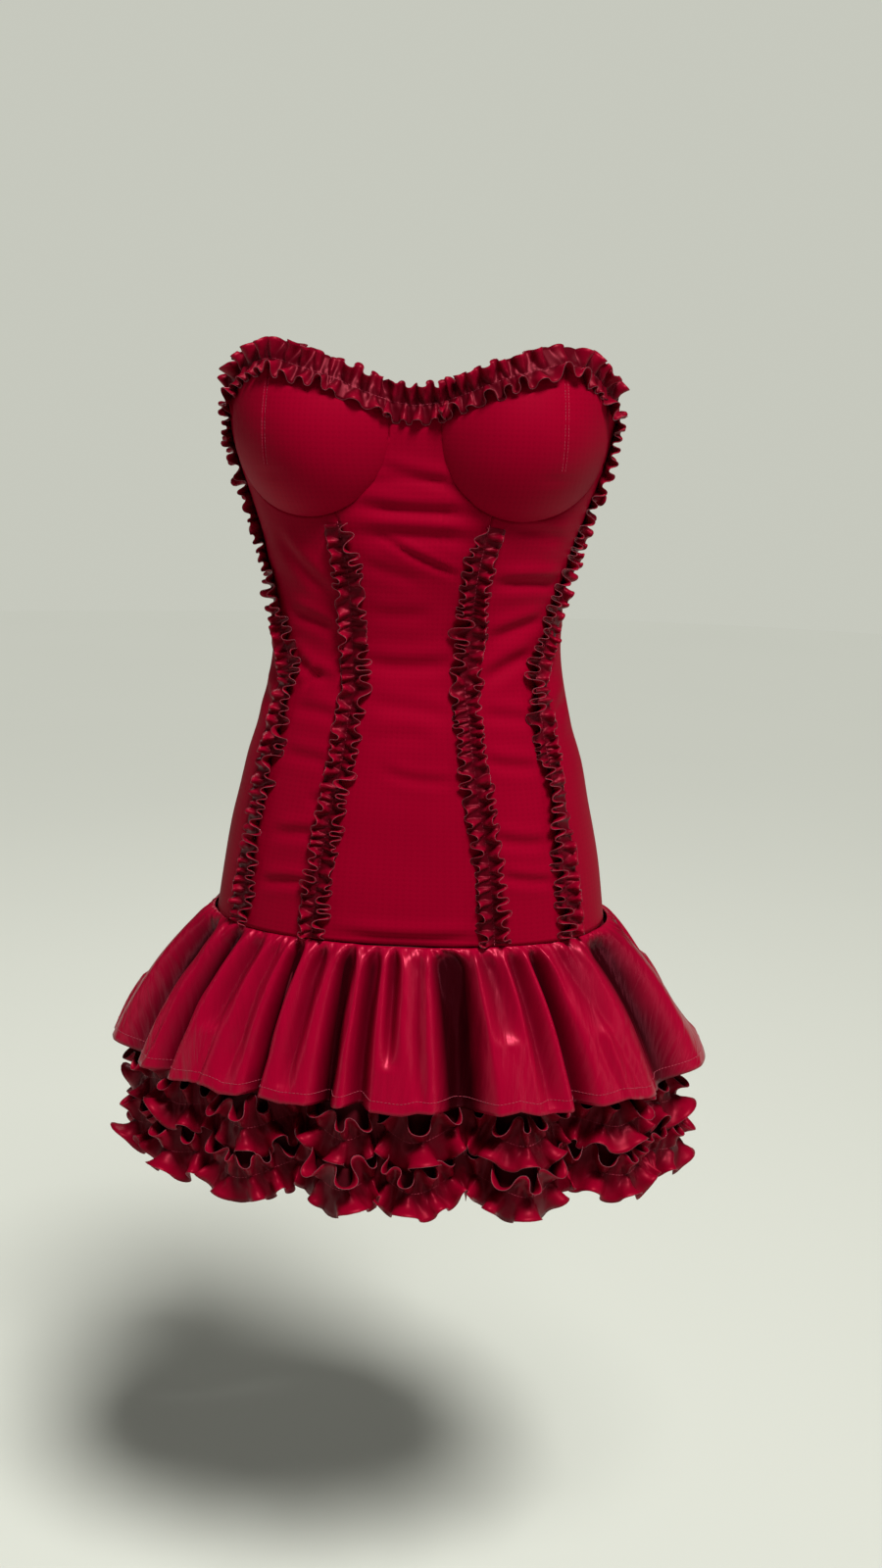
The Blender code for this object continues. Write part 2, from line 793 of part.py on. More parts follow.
def side_panel(name, side):
    """From the outer seam to the side back seam."""

    def front(z):
        return outer_seam(z) + gap_angle(z)

    def back(z):
        return SIDE_BACK_SEAM - gap_angle(z)

    if side > 0:
        return panel(name, front, back, SIDE_PANEL_COLUMNS)
    return panel(
        name,
        lambda z: -back(z),
        lambda z: -front(z),
        SIDE_PANEL_COLUMNS,
        lambda angle: TOP_EDGE(-angle),
    )


def clear_scene():
    for obj in list(bpy.data.objects):
        bpy.data.objects.remove(obj, do_unlink=True)
    for name in (COLLECTION, "cutters"):
        collection = bpy.data.collections.new(name)
        bpy.context.scene.collection.children.link(collection)


def skirts():
    """The peplum, the underskirt and its tiers, each with a front and a back."""
    gap = math.degrees(SEAM_GAP / 2 / PEPLUM_RINGS[0][2])
    front = trimmed(fold_line(PEPLUM_FOLDS, -SIDE_SEAM, SIDE_SEAM), gap)
    folds = back_folds(*PEPLUM_BACK_FOLDS)
    back = trimmed(fold_line(folds, SIDE_SEAM, 360 - SIDE_SEAM), gap)
    for name, columns in (("peplum_front", front), ("peplum_back", back)):
        peplum = Skirt(PEPLUM_RINGS, columns, PEPLUM_SEAM_SHARE)
        peplum.wall(name, PEPLUM_WALL, PEPLUM_ROWS, "satin")

    front = trimmed(fold_line(SKIRT_FLUTES, -SIDE_SEAM, SIDE_SEAM), gap)
    folds = back_folds(*SKIRT_BACK_FLUTES)
    back = trimmed(fold_line(folds, SIDE_SEAM, 360 - SIDE_SEAM), gap)
    for place, columns in (("front", front), ("back", back)):
        skirt = Skirt(SKIRT_RINGS, columns, 0.0)
        skirt.wall("underskirt_" + place, SKIRT_WALL, SKIRT_ROWS, "underskirt_cloth")
        tier("upper_tier_" + place, skirt, UPPER_TIER_Z)
        tier("lower_tier_" + place, skirt, LOWER_TIER_Z)


def main():
    clear_scene()
    center_panel()
    for letter, side in (("L", -1), ("R", 1)):
        front_side_panel("front_side_" + letter, side)
        side_panel("side_" + letter, side)
        back_panel("back_" + letter, side)
        cup("cup_" + letter, side)
        strip("inner_strip_" + letter, side, INNER_SEAM, INNER_STRIP_TOP, INNER_STRIP_WAVES)
        strip("outer_strip_" + letter, side, OUTER_STRIP, OUTER_STRIP_TOP, OUTER_STRIP_WAVES)
    neckline_ruffle()
    skirts()
    zip_chain()
    zip_hardware()


main()
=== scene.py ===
"""Strapless mini dress: fitted bodice with two moulded cups, gathered ruffles with an
overlocked edge, a satin peplum and an underskirt with two ruffle tiers.

Tables and lengths are in millimetres, as in the part's source, and the meshes in metres.
An angle goes round the body from the centre front, 0, through the +X side, 90, to the
centre back, 180.
"""

import json
import math

import bpy
import numpy as np
from mathutils import Matrix, Vector
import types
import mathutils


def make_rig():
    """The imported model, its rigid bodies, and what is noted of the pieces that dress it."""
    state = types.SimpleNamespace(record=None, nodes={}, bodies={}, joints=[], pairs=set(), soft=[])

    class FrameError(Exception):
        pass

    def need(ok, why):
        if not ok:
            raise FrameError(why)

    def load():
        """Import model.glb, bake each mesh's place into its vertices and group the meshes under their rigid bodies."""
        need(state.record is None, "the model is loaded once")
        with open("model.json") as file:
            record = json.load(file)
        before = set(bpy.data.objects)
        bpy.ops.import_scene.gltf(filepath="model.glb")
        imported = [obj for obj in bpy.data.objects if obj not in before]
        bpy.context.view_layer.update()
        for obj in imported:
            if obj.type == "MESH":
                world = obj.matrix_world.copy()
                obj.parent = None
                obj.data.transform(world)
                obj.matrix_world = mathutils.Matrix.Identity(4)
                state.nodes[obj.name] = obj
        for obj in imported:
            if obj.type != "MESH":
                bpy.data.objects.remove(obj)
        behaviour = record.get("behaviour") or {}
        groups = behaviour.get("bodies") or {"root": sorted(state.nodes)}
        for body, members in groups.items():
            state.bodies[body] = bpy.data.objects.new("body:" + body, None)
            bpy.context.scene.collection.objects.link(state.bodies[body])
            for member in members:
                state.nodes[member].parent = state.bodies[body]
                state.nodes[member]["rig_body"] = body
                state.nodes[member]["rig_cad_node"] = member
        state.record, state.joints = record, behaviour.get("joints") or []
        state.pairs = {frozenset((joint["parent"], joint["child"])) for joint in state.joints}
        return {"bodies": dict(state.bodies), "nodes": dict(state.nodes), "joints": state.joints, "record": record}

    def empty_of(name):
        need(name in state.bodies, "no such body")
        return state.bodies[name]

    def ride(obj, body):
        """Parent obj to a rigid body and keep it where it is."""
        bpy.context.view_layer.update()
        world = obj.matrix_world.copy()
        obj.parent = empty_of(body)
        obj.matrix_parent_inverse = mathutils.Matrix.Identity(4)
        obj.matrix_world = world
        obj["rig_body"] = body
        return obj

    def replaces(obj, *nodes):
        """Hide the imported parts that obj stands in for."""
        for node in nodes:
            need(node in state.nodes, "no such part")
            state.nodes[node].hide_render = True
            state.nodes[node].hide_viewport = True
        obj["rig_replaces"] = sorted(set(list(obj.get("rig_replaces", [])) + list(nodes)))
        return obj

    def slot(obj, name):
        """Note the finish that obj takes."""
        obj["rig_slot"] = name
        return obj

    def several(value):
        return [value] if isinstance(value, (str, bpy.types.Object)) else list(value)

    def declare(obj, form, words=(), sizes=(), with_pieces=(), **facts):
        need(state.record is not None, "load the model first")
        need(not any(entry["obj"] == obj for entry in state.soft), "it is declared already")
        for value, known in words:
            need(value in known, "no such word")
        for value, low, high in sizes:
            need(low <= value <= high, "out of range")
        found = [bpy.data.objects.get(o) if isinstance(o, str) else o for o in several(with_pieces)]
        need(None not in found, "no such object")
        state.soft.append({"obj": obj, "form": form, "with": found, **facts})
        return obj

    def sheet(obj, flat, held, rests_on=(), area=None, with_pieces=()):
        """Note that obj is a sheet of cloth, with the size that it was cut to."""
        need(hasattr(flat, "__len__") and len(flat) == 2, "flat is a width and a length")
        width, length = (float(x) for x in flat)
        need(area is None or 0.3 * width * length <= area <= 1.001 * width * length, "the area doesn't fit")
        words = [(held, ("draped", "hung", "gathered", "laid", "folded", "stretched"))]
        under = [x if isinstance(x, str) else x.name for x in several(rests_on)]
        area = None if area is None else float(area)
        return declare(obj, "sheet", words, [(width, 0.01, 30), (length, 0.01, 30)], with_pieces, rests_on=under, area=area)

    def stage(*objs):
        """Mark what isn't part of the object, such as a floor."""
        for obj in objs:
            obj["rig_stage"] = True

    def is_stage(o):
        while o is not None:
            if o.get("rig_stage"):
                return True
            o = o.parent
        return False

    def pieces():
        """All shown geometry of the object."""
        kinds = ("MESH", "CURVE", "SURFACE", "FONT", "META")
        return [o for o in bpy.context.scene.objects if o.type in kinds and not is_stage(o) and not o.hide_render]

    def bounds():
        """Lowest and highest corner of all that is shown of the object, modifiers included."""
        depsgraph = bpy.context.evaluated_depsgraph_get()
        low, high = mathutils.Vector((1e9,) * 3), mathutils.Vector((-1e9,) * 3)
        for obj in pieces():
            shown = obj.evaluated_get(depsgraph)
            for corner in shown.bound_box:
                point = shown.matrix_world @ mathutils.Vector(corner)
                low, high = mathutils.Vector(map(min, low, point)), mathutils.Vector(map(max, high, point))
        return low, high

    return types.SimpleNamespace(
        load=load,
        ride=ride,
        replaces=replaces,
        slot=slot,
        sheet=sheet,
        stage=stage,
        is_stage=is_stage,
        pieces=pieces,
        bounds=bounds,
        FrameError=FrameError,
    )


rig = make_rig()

bl_info = {
    "name": "Ruffled mini dress",
    "version": (1, 0, 0),
    "blender": (4, 5, 0),
    "location": "View3D > Sidebar > Dress",
    "description": "Dresses the mini dress frame in cloth, ruffles, stitches and a zip",
    "category": "Object",
}

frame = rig.load()
CAD_BOX = [list(corner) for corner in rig.bounds()]

MM = 0.001
BODY = "dress"
PULL = "pull_tab"
SEAM_GAP = 0.3

# Worn body: height, half width, front depth, back depth
BODY_RINGS = (
    (275, 178, 76, 76),
    (240, 176, 88, 86),
    (180, 168, 100, 97),
    (116, 148, 100, 97),
    (84, 138, 98, 96),
    (30, 130, 88, 92),
    (0, 130, 85, 91),
    (-75, 143, 100, 112),
    (-111, 154, 105, 122),
    (-146, 162, 110, 128),
    (-173, 168, 112, 133),
    (-217, 176, 115, 138),
    (-262, 182, 117, 141),
)
BODY_SQUARENESS = 2.35

# Top edge of the bodice: angle, height
NECKLINE = (
    (0, 206),
    (4.5, 209),
    (10.3, 217),
    (17.4, 227),
    (26.9, 235),
    (37.3, 241),
    (48.3, 237),
    (59.2, 226),
    (67.7, 216),
    (75, 210),
    (90, 202),
    (115, 194),
    (180, 186),
)

# Seams down the front: height, inner seam angle, outer strip angle
FRONT_SEAMS = (
    (212, 22.5, 78),
    (193, 22.5, 80),
    (170, 22.5, 82),
    (150, 22.5, 84),
    (126, 22.5, 85),
    (104, 22.3, 85),
    (83, 21.5, 82),
    (62, 20.6, 76.5),
    (42, 20.2, 71),
    (20, 19.8, 64.5),
    (0, 19.2, 58.5),
    (-20, 18, 53.5),
    (-34, 17.2, 51.6),
    (-56, 18.2, 52),
    (-105, 18.9, 52),
    (-150, 20.6, 51.5),
    (-200, 22.2, 51.6),
    (-262, 22.8, 53),
)
SIDE_BACK_SEAM = 116

CUP_CENTRE_X = 92
CUP_CENTRE_Z = 180
CUP_RADIUS = 70
CUP_RISE = 92
CUP_DEPTH = 35
CUP_ROUNDNESS = 0.8
CUP_TURN_OUT = 0.28
CUP_INNER_SEAM_TURN = 67.5
CUP_OUTER_SEAM_TURN = 180
# Short seam in the upper half of each cup
CUP_DART_X = 115
CUP_DART_FOOT = 152
DART_STITCH_TOP = 222
DART_STITCH_OFF = 1.5
HIP_SEAM_Z = -256
# Top edge of the peplum and of the underskirt
SKIRT_TOP_Z = HIP_SEAM_Z - SEAM_GAP
UNDERSKIRT_HEM_Z = -474

# Peplum: share of the drop, height, half width, front depth, back depth
PEPLUM_RINGS = (
    (0.00, SKIRT_TOP_Z, 183.5, 119.5, 143.5),
    (0.10, -264, 194, 128, 153),
    (0.30, -287, 214, 139, 170),
    (0.55, -321, 237, 152, 187),
    (0.80, -360, 257, 162, 199),
    (1.00, -389, 269, 168, 206),
)
# Peplum folds over the front: angle, ridge height, depth of the valley after it
PEPLUM_FOLDS = (
    (-78, 15, 9),
    (-58, 11, 7),
    (-46, 8, 6),
    (-37, 7, 6),
    (-30.5, 6, 5),
    (-24, 7, 8),
    (-16.5, 9, 8),
    (-9, 8, 5),
    (-3.8, 5, 4),
    (1, 5, 4),
    (6, 8, 26),
    (18, 12, 6),
    (26, 7, 6),
    (32.5, 7, 6),
    (40, 9, 7),
    (52, 12, 8),
    (77, 15, 12),
)
SIDE_SEAM = 97
PEPLUM_BACK_FOLDS = 17
PEPLUM_SEAM_SHARE = 0.12
# How near the peplum comes to the underskirt at the bottom of a valley, in mm
PEPLUM_CLEARANCE = 2.0
# How deep the peplum folds in at its side seams, in mm
PEPLUM_SIDE_FOLD = 8.0
# Valleys that run down to the peplum's hem, between its lobes: angle, depth at the hem
PEPLUM_LOBE_VALLEYS = (
    (-68, 20),
    (-52, 22),
    (-27, 25),
    (-13, 26),
    (-6, 19),
    (12, 32),
    (37, 21),
    (64, 22),
    (112, 18),
    (130, 16),
    (143, 20),
    (163, 15),
    (178, 22),
    (197, 16),
    (216, 20),
    (229, 15),
    (247, 18),
)
SEAM_MM_A_DEGREE = 3.05
# Hollows below the hip seam: share of the drop that they run, depth in mm, sharpness
HOLLOW_RUNS = (0.45, 1.1)
HOLLOW_DEPTHS = (7, 20)
HOLLOW_SHARPNESS = (0.5, 1.5)
# How far above the seam, as a share of the drop, a hollow seems to start
SEAM_OPENING = 0.02
# How far the folds drift on their way down and sway in between, in half folds
FOLD_DRIFT = 0.75
FOLD_SWAY = 0.5
# How much a ridge widens over its valley, in half folds
RIDGE_WIDENING = 0.07
# How far the peplum sinks in just below its seam, in mm
SEAM_SINK = 0.9
# Tucks at the hip seam: width and height in mm, share of the drop, slant and widening
TUCK_WIDTHS = (1.6, 2.8)
TUCK_HEIGHTS = (1.4, 3.2)
TUCK_RUNS = (0.12, 0.5)
TUCK_SLANTS = (-12, 12)
TUCK_WIDENING = 2.4
CREASES = 80
DENTS = 16
# The folds change into the one at the side seam over this many degrees
SEAM_FADE = 8
# How uneven the hem hangs, in mm, and how much it rises on a fold that stands out
PEPLUM_HEM_WANDER = 3.2
PEPLUM_HEM_RISE = 0.12
# The cloth map of the peplum: its length in mm, and how much wider it is at the hem
PEPLUM_MAP_LENGTH = 170
PEPLUM_MAP_FLARE = 0.5

# Underskirt: share of the drop, height, half width, front depth, back depth
SKIRT_RINGS = (
    (0.00, SKIRT_TOP_Z, 178.6, 114.6, 138.6),
    (0.20, -298, 200, 127, 158),
    (0.50, -362, 232, 140, 182),
    (0.75, -418, 247, 147, 192),
    (1.00, UNDERSKIRT_HEM_Z, 255, 151, 198),
)
# Underskirt flutes over the front: angle, ridge height, depth of the valley after it
SKIRT_FLUTES = (
    (-78, 9, 4),
    (-53, 9, 3),
    (-31, 13, 15),
    (-9, 10, 7),
    (3, 9, 14),
    (25, 14, 15),
    (51, 8, 4),
    (78, 9, 9),
)
SKIRT_BACK_FLUTES = 6
SKIRT_SQUARENESS = 2.1
# How much lower the hem hangs on a flute, as a share of the flute's height
HEM_SWAG = 0.45
# How far below the hip seam the cloth has all of that drop, in mm
SWAG_RUN = 150
UNDERSKIRT_MM_A_DEGREE = 4.2
# The front and back of a skirt stop this far from the side seam, in degrees
PART_GAP = 0.05
# Puckers beside the tiers' stitching: reach and height in mm, and radians a degree round
PUCKER_REACH = 14
PUCKER_HEIGHT = 0.9
PUCKER_LIMIT = 0.4
PUCKER_SINK = 0.2
PUCKER_TURN = 1.9
UPPER_TIER_Z = -420
LOWER_TIER_Z = -466

INNER_STRIP_TOP = 106
OUTER_STRIP_TOP = 203
NECKLINE_RUFFLE_END = 74
NECKLINE_RUFFLE_DROP = 3
# The neckline ruffle's waves are this much longer than those of the strips
NECKLINE_WAVE_SHARE = 1.25
STRIP_END_RISE = 2
# The tiers stop this far from the side seam, in degrees
TIER_END_GAP = 0.6

ZIP_HALF_WIDTH = 2.7
ZIP_TOP_DROP = 3
ZIP_SET_BACK = 1.5
# Across the zip's tape: sideways place, how far it stands out
ZIP_TAPE_PROFILE = (
    (ZIP_HALF_WIDTH, 0.0),
    (2.5, 0.5),
    (0.9, 0.5),
    (0.5, 0.1),
    (0.0, 0.0),
    (-0.5, 0.1),
    (-0.9, 0.5),
    (-2.5, 0.5),
    (-ZIP_HALF_WIDTH, 0.0),
)
ZIP_TAPE_OUT = 0.55
ZIP_TAPE_WALL = 0.5
# The coil's two rows: sideways, out, and how much a turn slants
COIL_ASIDE = 0.75
COIL_OUT = 1.25
COIL_SLANT = 0.35

# Height of the ring that lengths round the body are counted on
LENGTH_RING_Z = 20.0
# Ridges above and below a drag line's trough: share of its depth, place, width
DRAG_RIDGE = (0.75, 1.9, 1.15)
DRAG_FOOT = (0.3, -2.1, 1.2)
DRAG_SHARE = 1.3
# A drag line runs on past both its ends by this share of its length
DRAG_OVERRUN = 0.12
DRAG_WIDTH_SHARE = 0.85
# Drag lines pulled into the bodice: from angle and height, to angle and height, half width,
# depth, and how far the middle bows up
DRAG_LINES = (
    (-8.8, 152, 9.5, 141, 5, 1.5, 0),
    (-13, 141, 10.5, 140, 4, 1.1, 2),
    (-16, 121, 16.5, 117, 6, 2.8, -2),
    (-17, 96, 18, 94, 7, 2.3, 3),
    (-8.5, 96, 13.5, 65, 3.4, 1.9, -2),
    (-15, 72, 2, 58, 6, 0.9, 0),
    (-13, 30, 5, 31, 7, 0.9, -2),
    (-15, -13, 13, -11, 7, 1.9, -3),
    (-14, -45, 13, -55, 7, 1.0, 0),
    (-6, -104, 12, -111, 5, 1.2, -3),
    (-12, -78, 6, -74, 8, 0.7, 2),
    (-16, -250, 18, -249, 6, 2.2, -2),
    (-55, 92, -27, 42, 7, 1.6, -3),
    (-54, 26, -26, 12, 6, 2.2, 2),
    (-50, -12, -27, -30, 6, 1.9, -4),
    (-41, -38, -33, -22, 4, 2.2, 0),
    (-45, -57, -22, -61, 6, 1.4, 2),
    (-45, -96, -23, -100, 6, 1.2, 1),
    (-42, -168, -22, -163, 6, 1.8, 2),
    (-44, -213, -25, -207, 5, 2.1, 2),
    (-30, -130, -21, -138, 6, 0.9, 0),
    (31, 104, 63, 93, 6, 1.7, 2),
    (27, 57, 67, 55, 6, 2.8, 2),
    (26, 8, 57, 25, 6, 2.1, 2),
    (24, -27, 51, -4, 7, 2.6, 2),
    (23, -55, 47, -61, 6, 1.4, 1),
    (22, -94, 46, -101, 6, 1.6, -1),
    (23, -160, 45, -167, 6, 1.8, -2),
    (25, -194, 46, -202, 5, 1.8, -1),
    (60, -20, 74, 16, 5, 1.5, 0),
    (63, -60, 84, -48, 8, 1.3, 2),
    (-84, -46, -62, -62, 8, 1.4, 2),
    (-78, 14, -62, -18, 5, 1.4, 0),
    (92, 112, 112, 94, 6, 1.5, 0),
    (-112, 96, -92, 116, 6, 1.3, 0),
    (84, 42, 114, 30, 7, 2.0, -2),
    (-114, 34, -82, 38, 7, 1.8, -2),
    (90, 2, 114, 10, 6, 1.7, -2),
    (-114, 6, -88, 0, 6, 1.9, -2),
    (118, 120, 150, 100, 7, 1.5, -2),
    (-152, 104, -119, 118, 7, 1.4, -2),
    (121, 52, 176, 38, 6, 2.3, -4),
    (-177, 40, -123, 56, 7, 2.0, -4),
    (119, 14, 172, 6, 6, 2.0, 3),
    (-174, 8, -120, 10, 6, 2.4, 3),
    (134, -28, 177, -20, 6, 1.8, -2),
    (-177, -22, -130, -32, 6, 1.6, -2),
    (120, -60, 158, -48, 8, 1.4, 3),
    (-160, -50, -119, -64, 8, 1.5, 3),
    (122, -182, 160, -196, 8, 1.3, -3),
    (-164, -192, -124, -178, 8, 1.2, -3),
    (95, -120, 114, -132, 9, 1.0, 0),
    (-113, -128, -94, -118, 9, 1.1, 0),
)


def linear(colour, alpha=1.0):
    """A colour written as sRGB hex, in linear light."""
    parts = [int(colour[k : k + 2], 16) / 255 for k in (1, 3, 5)]
    light = [c / 12.92 if c <= 0.04045 else ((c + 0.055) / 1.055) ** 2.4 for c in parts]
    return (*light, alpha)


def size_property(name, description, default, low, high):
    return bpy.props.FloatProperty(
        name=name, description=description + ", in mm", default=default, min=low, max=high
    )


class DressSizes(bpy.types.PropertyGroup):
    """Sizes of the cloth, its gathers and its stitches."""

    cloth_wall: size_property(
        "Bodice cloth", "Thickness of the bodice cloth with its lining", 1.3, 0.4, 3
    )
    skirt_wall: size_property(
        "Skirt cloth", "Thickness of the peplum and underskirt cloth", 0.8, 0.3, 2
    )
    ruffle_wall: size_property("Ruffle cloth", "Thickness of the ruffle cloth", 0.55, 0.3, 1.5)
    strip_half_width: size_property(
        "Strip half width", "From a strip's stitching to its edge", 12.5, 6, 30
    )
    strip_wave: size_property(
        "Strip wave", "Length of seam that one wave of a strip takes", 11.5, 6, 40
    )
    neckline_half_width: size_property(
        "Neckline half width", "From the top edge to a ruffle edge", 16, 6, 30
    )
    tier_half_width: size_property(
        "Tier half width", "From a tier's stitching to its edge", 23, 10, 50
    )
    tier_wave: size_property("Tier wave", "Length of hem that one wave of a tier takes", 25, 10, 60)
    peplum_gather: size_property(
        "Peplum gather", "Seam length between two gathers of the peplum", 10, 5, 40
    )
    overlock_spacing: size_property(
        "Overlock spacing", "Between two loops of the overlocked edge", 2.6, 1, 6
    )
    tooth_spacing: size_property(
        "Tooth spacing", "Between two turns of the zip's coil", 1.3, 0.8, 3
    )


def colour_property(name, description, colour):
    return bpy.props.FloatVectorProperty(
        name=name, description=description, subtype="COLOR", size=4, min=0, max=1,
        default=linear(colour),
    )


class DressColours(bpy.types.PropertyGroup):
    """Colours of the cloths, the thread and the zip."""

    bodice: colour_property("Bodice", "Stretch crepe of the bodice", "#86001E")
    ruffle: colour_property("Ruffles", "Ruffle cloth", "#7E001C")
    satin: colour_property("Satin", "Satin of the peplum", "#900024")
    underskirt: colour_property("Underskirt", "Cloth of the underskirt", "#4A000E")
    thread: colour_property("Thread", "Overlock thread", "#6C1828")
    seam_thread: colour_property("Seam thread", "Thread of the straight seams", "#A81C3C")
    zip: colour_property("Zip", "Tape and coil of the zip", "#700820")
    floor: colour_property("Floor", "Floor and background", "#CACCC1")


SIZES = None
COLOURS = None


class Curve:
    """A smooth line through a table's column, which never swings past its rows."""

    def __init__(self, rows, column):
        table = np.array(sorted((row[0], row[column]) for row in rows), float)
        self.at, self.value = table.T
        steps = np.diff(self.value) / np.diff(self.at)
        before, after = steps[:-1], steps[1:]
        same_way = before * after > 0
        total = np.where(same_way, before + after, 1.0)
        inner = np.where(same_way, 2 * before * after / total, 0.0)
        self.slope = np.concatenate((steps[:1], inner, steps[-1:]))

    def __call__(self, x):
        x = np.clip(x, self.at[0], self.at[-1])
        k = np.clip(np.searchsorted(self.at, x) - 1, 0, len(self.at) - 2)
        span = self.at[k + 1] - self.at[k]
        t = (x - self.at[k]) / span
        rise = self.value[k + 1] - self.value[k]
        start = self.slope[k] * span * t * (1 - t) * (1 - t)
        end = self.slope[k + 1] * span * t * t * (t - 1)
        return self.value[k] + rise * t * t * (3 - 2 * t) + start + end


BODY_WIDTH = Curve(BODY_RINGS, 1)
BODY_FRONT = Curve(BODY_RINGS, 2)
BODY_BACK = Curve(BODY_RINGS, 3)
TOP_EDGE = Curve(NECKLINE, 1)
INNER_SEAM = Curve(FRONT_SEAMS, 1)
OUTER_STRIP = Curve(FRONT_SEAMS, 2)


def lerp(a, b, t):
    return a + (b - a) * t


def ease(t):
    """0 to 1 with a soft start and end, and held outside."""
    t = np.clip(t, 0, 1)
    return t * t * (3 - 2 * t)


def closer_at_ends(count):
    """Shares from 0 to 1 that lie closer together beside both ends."""
    return 0.5 - 0.5 * np.cos(np.pi * np.arange(count + 1) / count)


def ring_point(angle, z, half_width, front, back, squareness):
    """A point on a squared oval ring round the body."""
    turn = np.radians(angle)
    side, ahead = np.sin(turn), np.cos(turn)
    power = 2 / squareness
    depth = np.where(ahead > 0, front, back)
    x = half_width * np.sign(side) * np.abs(side) ** power
    y = -depth * np.sign(ahead) * np.abs(ahead) ** power
    return np.stack(np.broadcast_arrays(x, y, z), axis=-1)


def angle_at(x, z):
    """The angle at which the front of the body has this sideways place."""
    share = np.minimum(np.abs(x) / BODY_WIDTH(z), 1.0)
    return np.copysign(np.degrees(np.arcsin(share ** (BODY_SQUARENESS / 2))), x)


def torso(angle, z):
    """A point on the outside of the bodice, with no cups."""
    return ring_point(angle, z, BODY_WIDTH(z), BODY_FRONT(z), BODY_BACK(z), BODY_SQUARENESS)


def bodice(angle, z):
    """A point on the outside of the bodice, cups and all."""
    point = torso(angle, z)
    x = point[..., 0]
    across = (np.abs(x) - CUP_CENTRE_X) / CUP_RADIUS
    rise = point[..., 2] - CUP_CENTRE_Z
    up = rise / np.where(rise > 0, CUP_RISE, CUP_RADIUS)
    left = np.clip(1 - across * across - up * up, 0, None)
    swell = np.where(point[..., 1] < 0, CUP_DEPTH * left**CUP_ROUNDNESS, 0.0)
    point[..., 0] = x + swell * np.copysign(CUP_TURN_OUT, x)
    point[..., 1] -= swell
    return point


def unit(vectors):
    return vectors / np.maximum(np.linalg.norm(vectors, axis=-1, keepdims=True), 1e-9)


def outer_normal(surface, u, z, step=0.2):
    """The way out of a surface at places on it, and its two directions."""
    along = (surface(u + step, z) - surface(u - step, z)) / (2 * step)
    up = (surface(u, z + step) - surface(u, z - step)) / (2 * step)
    return unit(np.cross(along, up)), along, up


def length_along(line):
    """The length of a line of points up to each of them."""
    steps = np.linalg.norm(np.diff(line, axis=0), axis=-1)
    return np.concatenate(([0.0], np.cumsum(steps)))


def length_round(angle):
    """The length of cloth round the waist from the centre front to an angle."""
    angles = np.linspace(-182, 182, 1457)
    lengths = length_along(torso(angles, LENGTH_RING_Z))
    return np.interp(angle, angles, lengths - lengths[len(lengths) // 2])


def swell_at(off, height, place, width):
    """A soft swelling with its top at a place."""
    return height * np.exp(-(((off - place) / width) ** 2))


def drag_relief(angle, z):
    """How far the pulled cloth stands in or out: a trough with a ridge above it a line."""
    across = length_round(angle)
    # The cloth is a little uneven all over
    relief = 0.25 * np.sin(z / 15 + 1.3 * np.sin(across / 47)) * np.cos(across / 38 + z / 90)
    for from_angle, from_z, to_angle, to_z, width, depth, bow in DRAG_LINES:
        start = length_round(from_angle)
        run = length_round(to_angle) - start
        rise = to_z - from_z
        length = math.hypot(run, rise)
        along = ((across - start) * run + (z - from_z) * rise) / length**2
        off = ((z - from_z) * run - (across - start) * rise) / length
        off = (off - 4 * bow * along * (1 - along)) / (DRAG_WIDTH_SHARE * width)
        fade = ease((along + DRAG_OVERRUN) / 0.45) * ease((1 + DRAG_OVERRUN - along) / 0.4)
        trough = np.exp(-off * off)
        beside_it = swell_at(off, *DRAG_RIDGE) + swell_at(off, *DRAG_FOOT)
        relief = relief - depth * fade * (trough - beside_it)
    return DRAG_SHARE * relief


def cloth_mesh(name, grid, flat_places, depth=None):
    """A smooth mesh through a grid of points, row by row, with its cloth map in metres.

    depth gives the share of painted shade at each point, from 0 on a crest to 1 at the bottom of a fold.
    """
    rows, columns = grid.shape[:2]
    there = ~np.isnan(grid[..., 0])
    index = np.full((rows, columns), -1)
    index[there] = np.arange(there.sum())
    corners = np.stack((index[:-1, :-1], index[1:, :-1], index[1:, 1:], index[:-1, 1:]), -1)
    faces = corners[(corners >= 0).all(-1)]
    mesh = bpy.data.meshes.new(name)
    mesh.from_pydata((grid[there] * MM).tolist(), [], faces.tolist())
    weave = mesh.uv_layers.new(name="weave")
    loops = np.zeros(len(mesh.loops), np.int32)
    mesh.loops.foreach_get("vertex_index", loops)
    places = np.stack(np.broadcast_arrays(*flat_places), -1)[there] * MM
    weave.data.foreach_set("uv", places[loops].astype(np.float32).ravel())
    # The depth is kept as an attribute that sets the painted shade in the cloth's colour
    if depth is not None:
        kept = mesh.attributes.new("fold_depth", "FLOAT", "POINT")
        kept.data.foreach_set("value", np.clip(depth, 0, 1)[there].astype(np.float32))
    mesh.shade_smooth()
    return mesh


def add_piece(name, mesh, slot, body=BODY, replaces=()):
    """Put a finished mesh in the scene as a piece that rides on a body."""
    piece = bpy.data.objects.new(name, mesh)
    bpy.context.scene.collection.objects.link(piece)
    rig.ride(piece, body)
    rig.slot(piece, slot)
    if replaces:
        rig.replaces(piece, *replaces)
    return piece


def thicken(piece, wall, offset):
    solid = piece.modifiers.new("cloth thickness", "SOLIDIFY")
    solid.thickness = wall * MM
    solid.offset = offset
    solid.use_even_offset = False


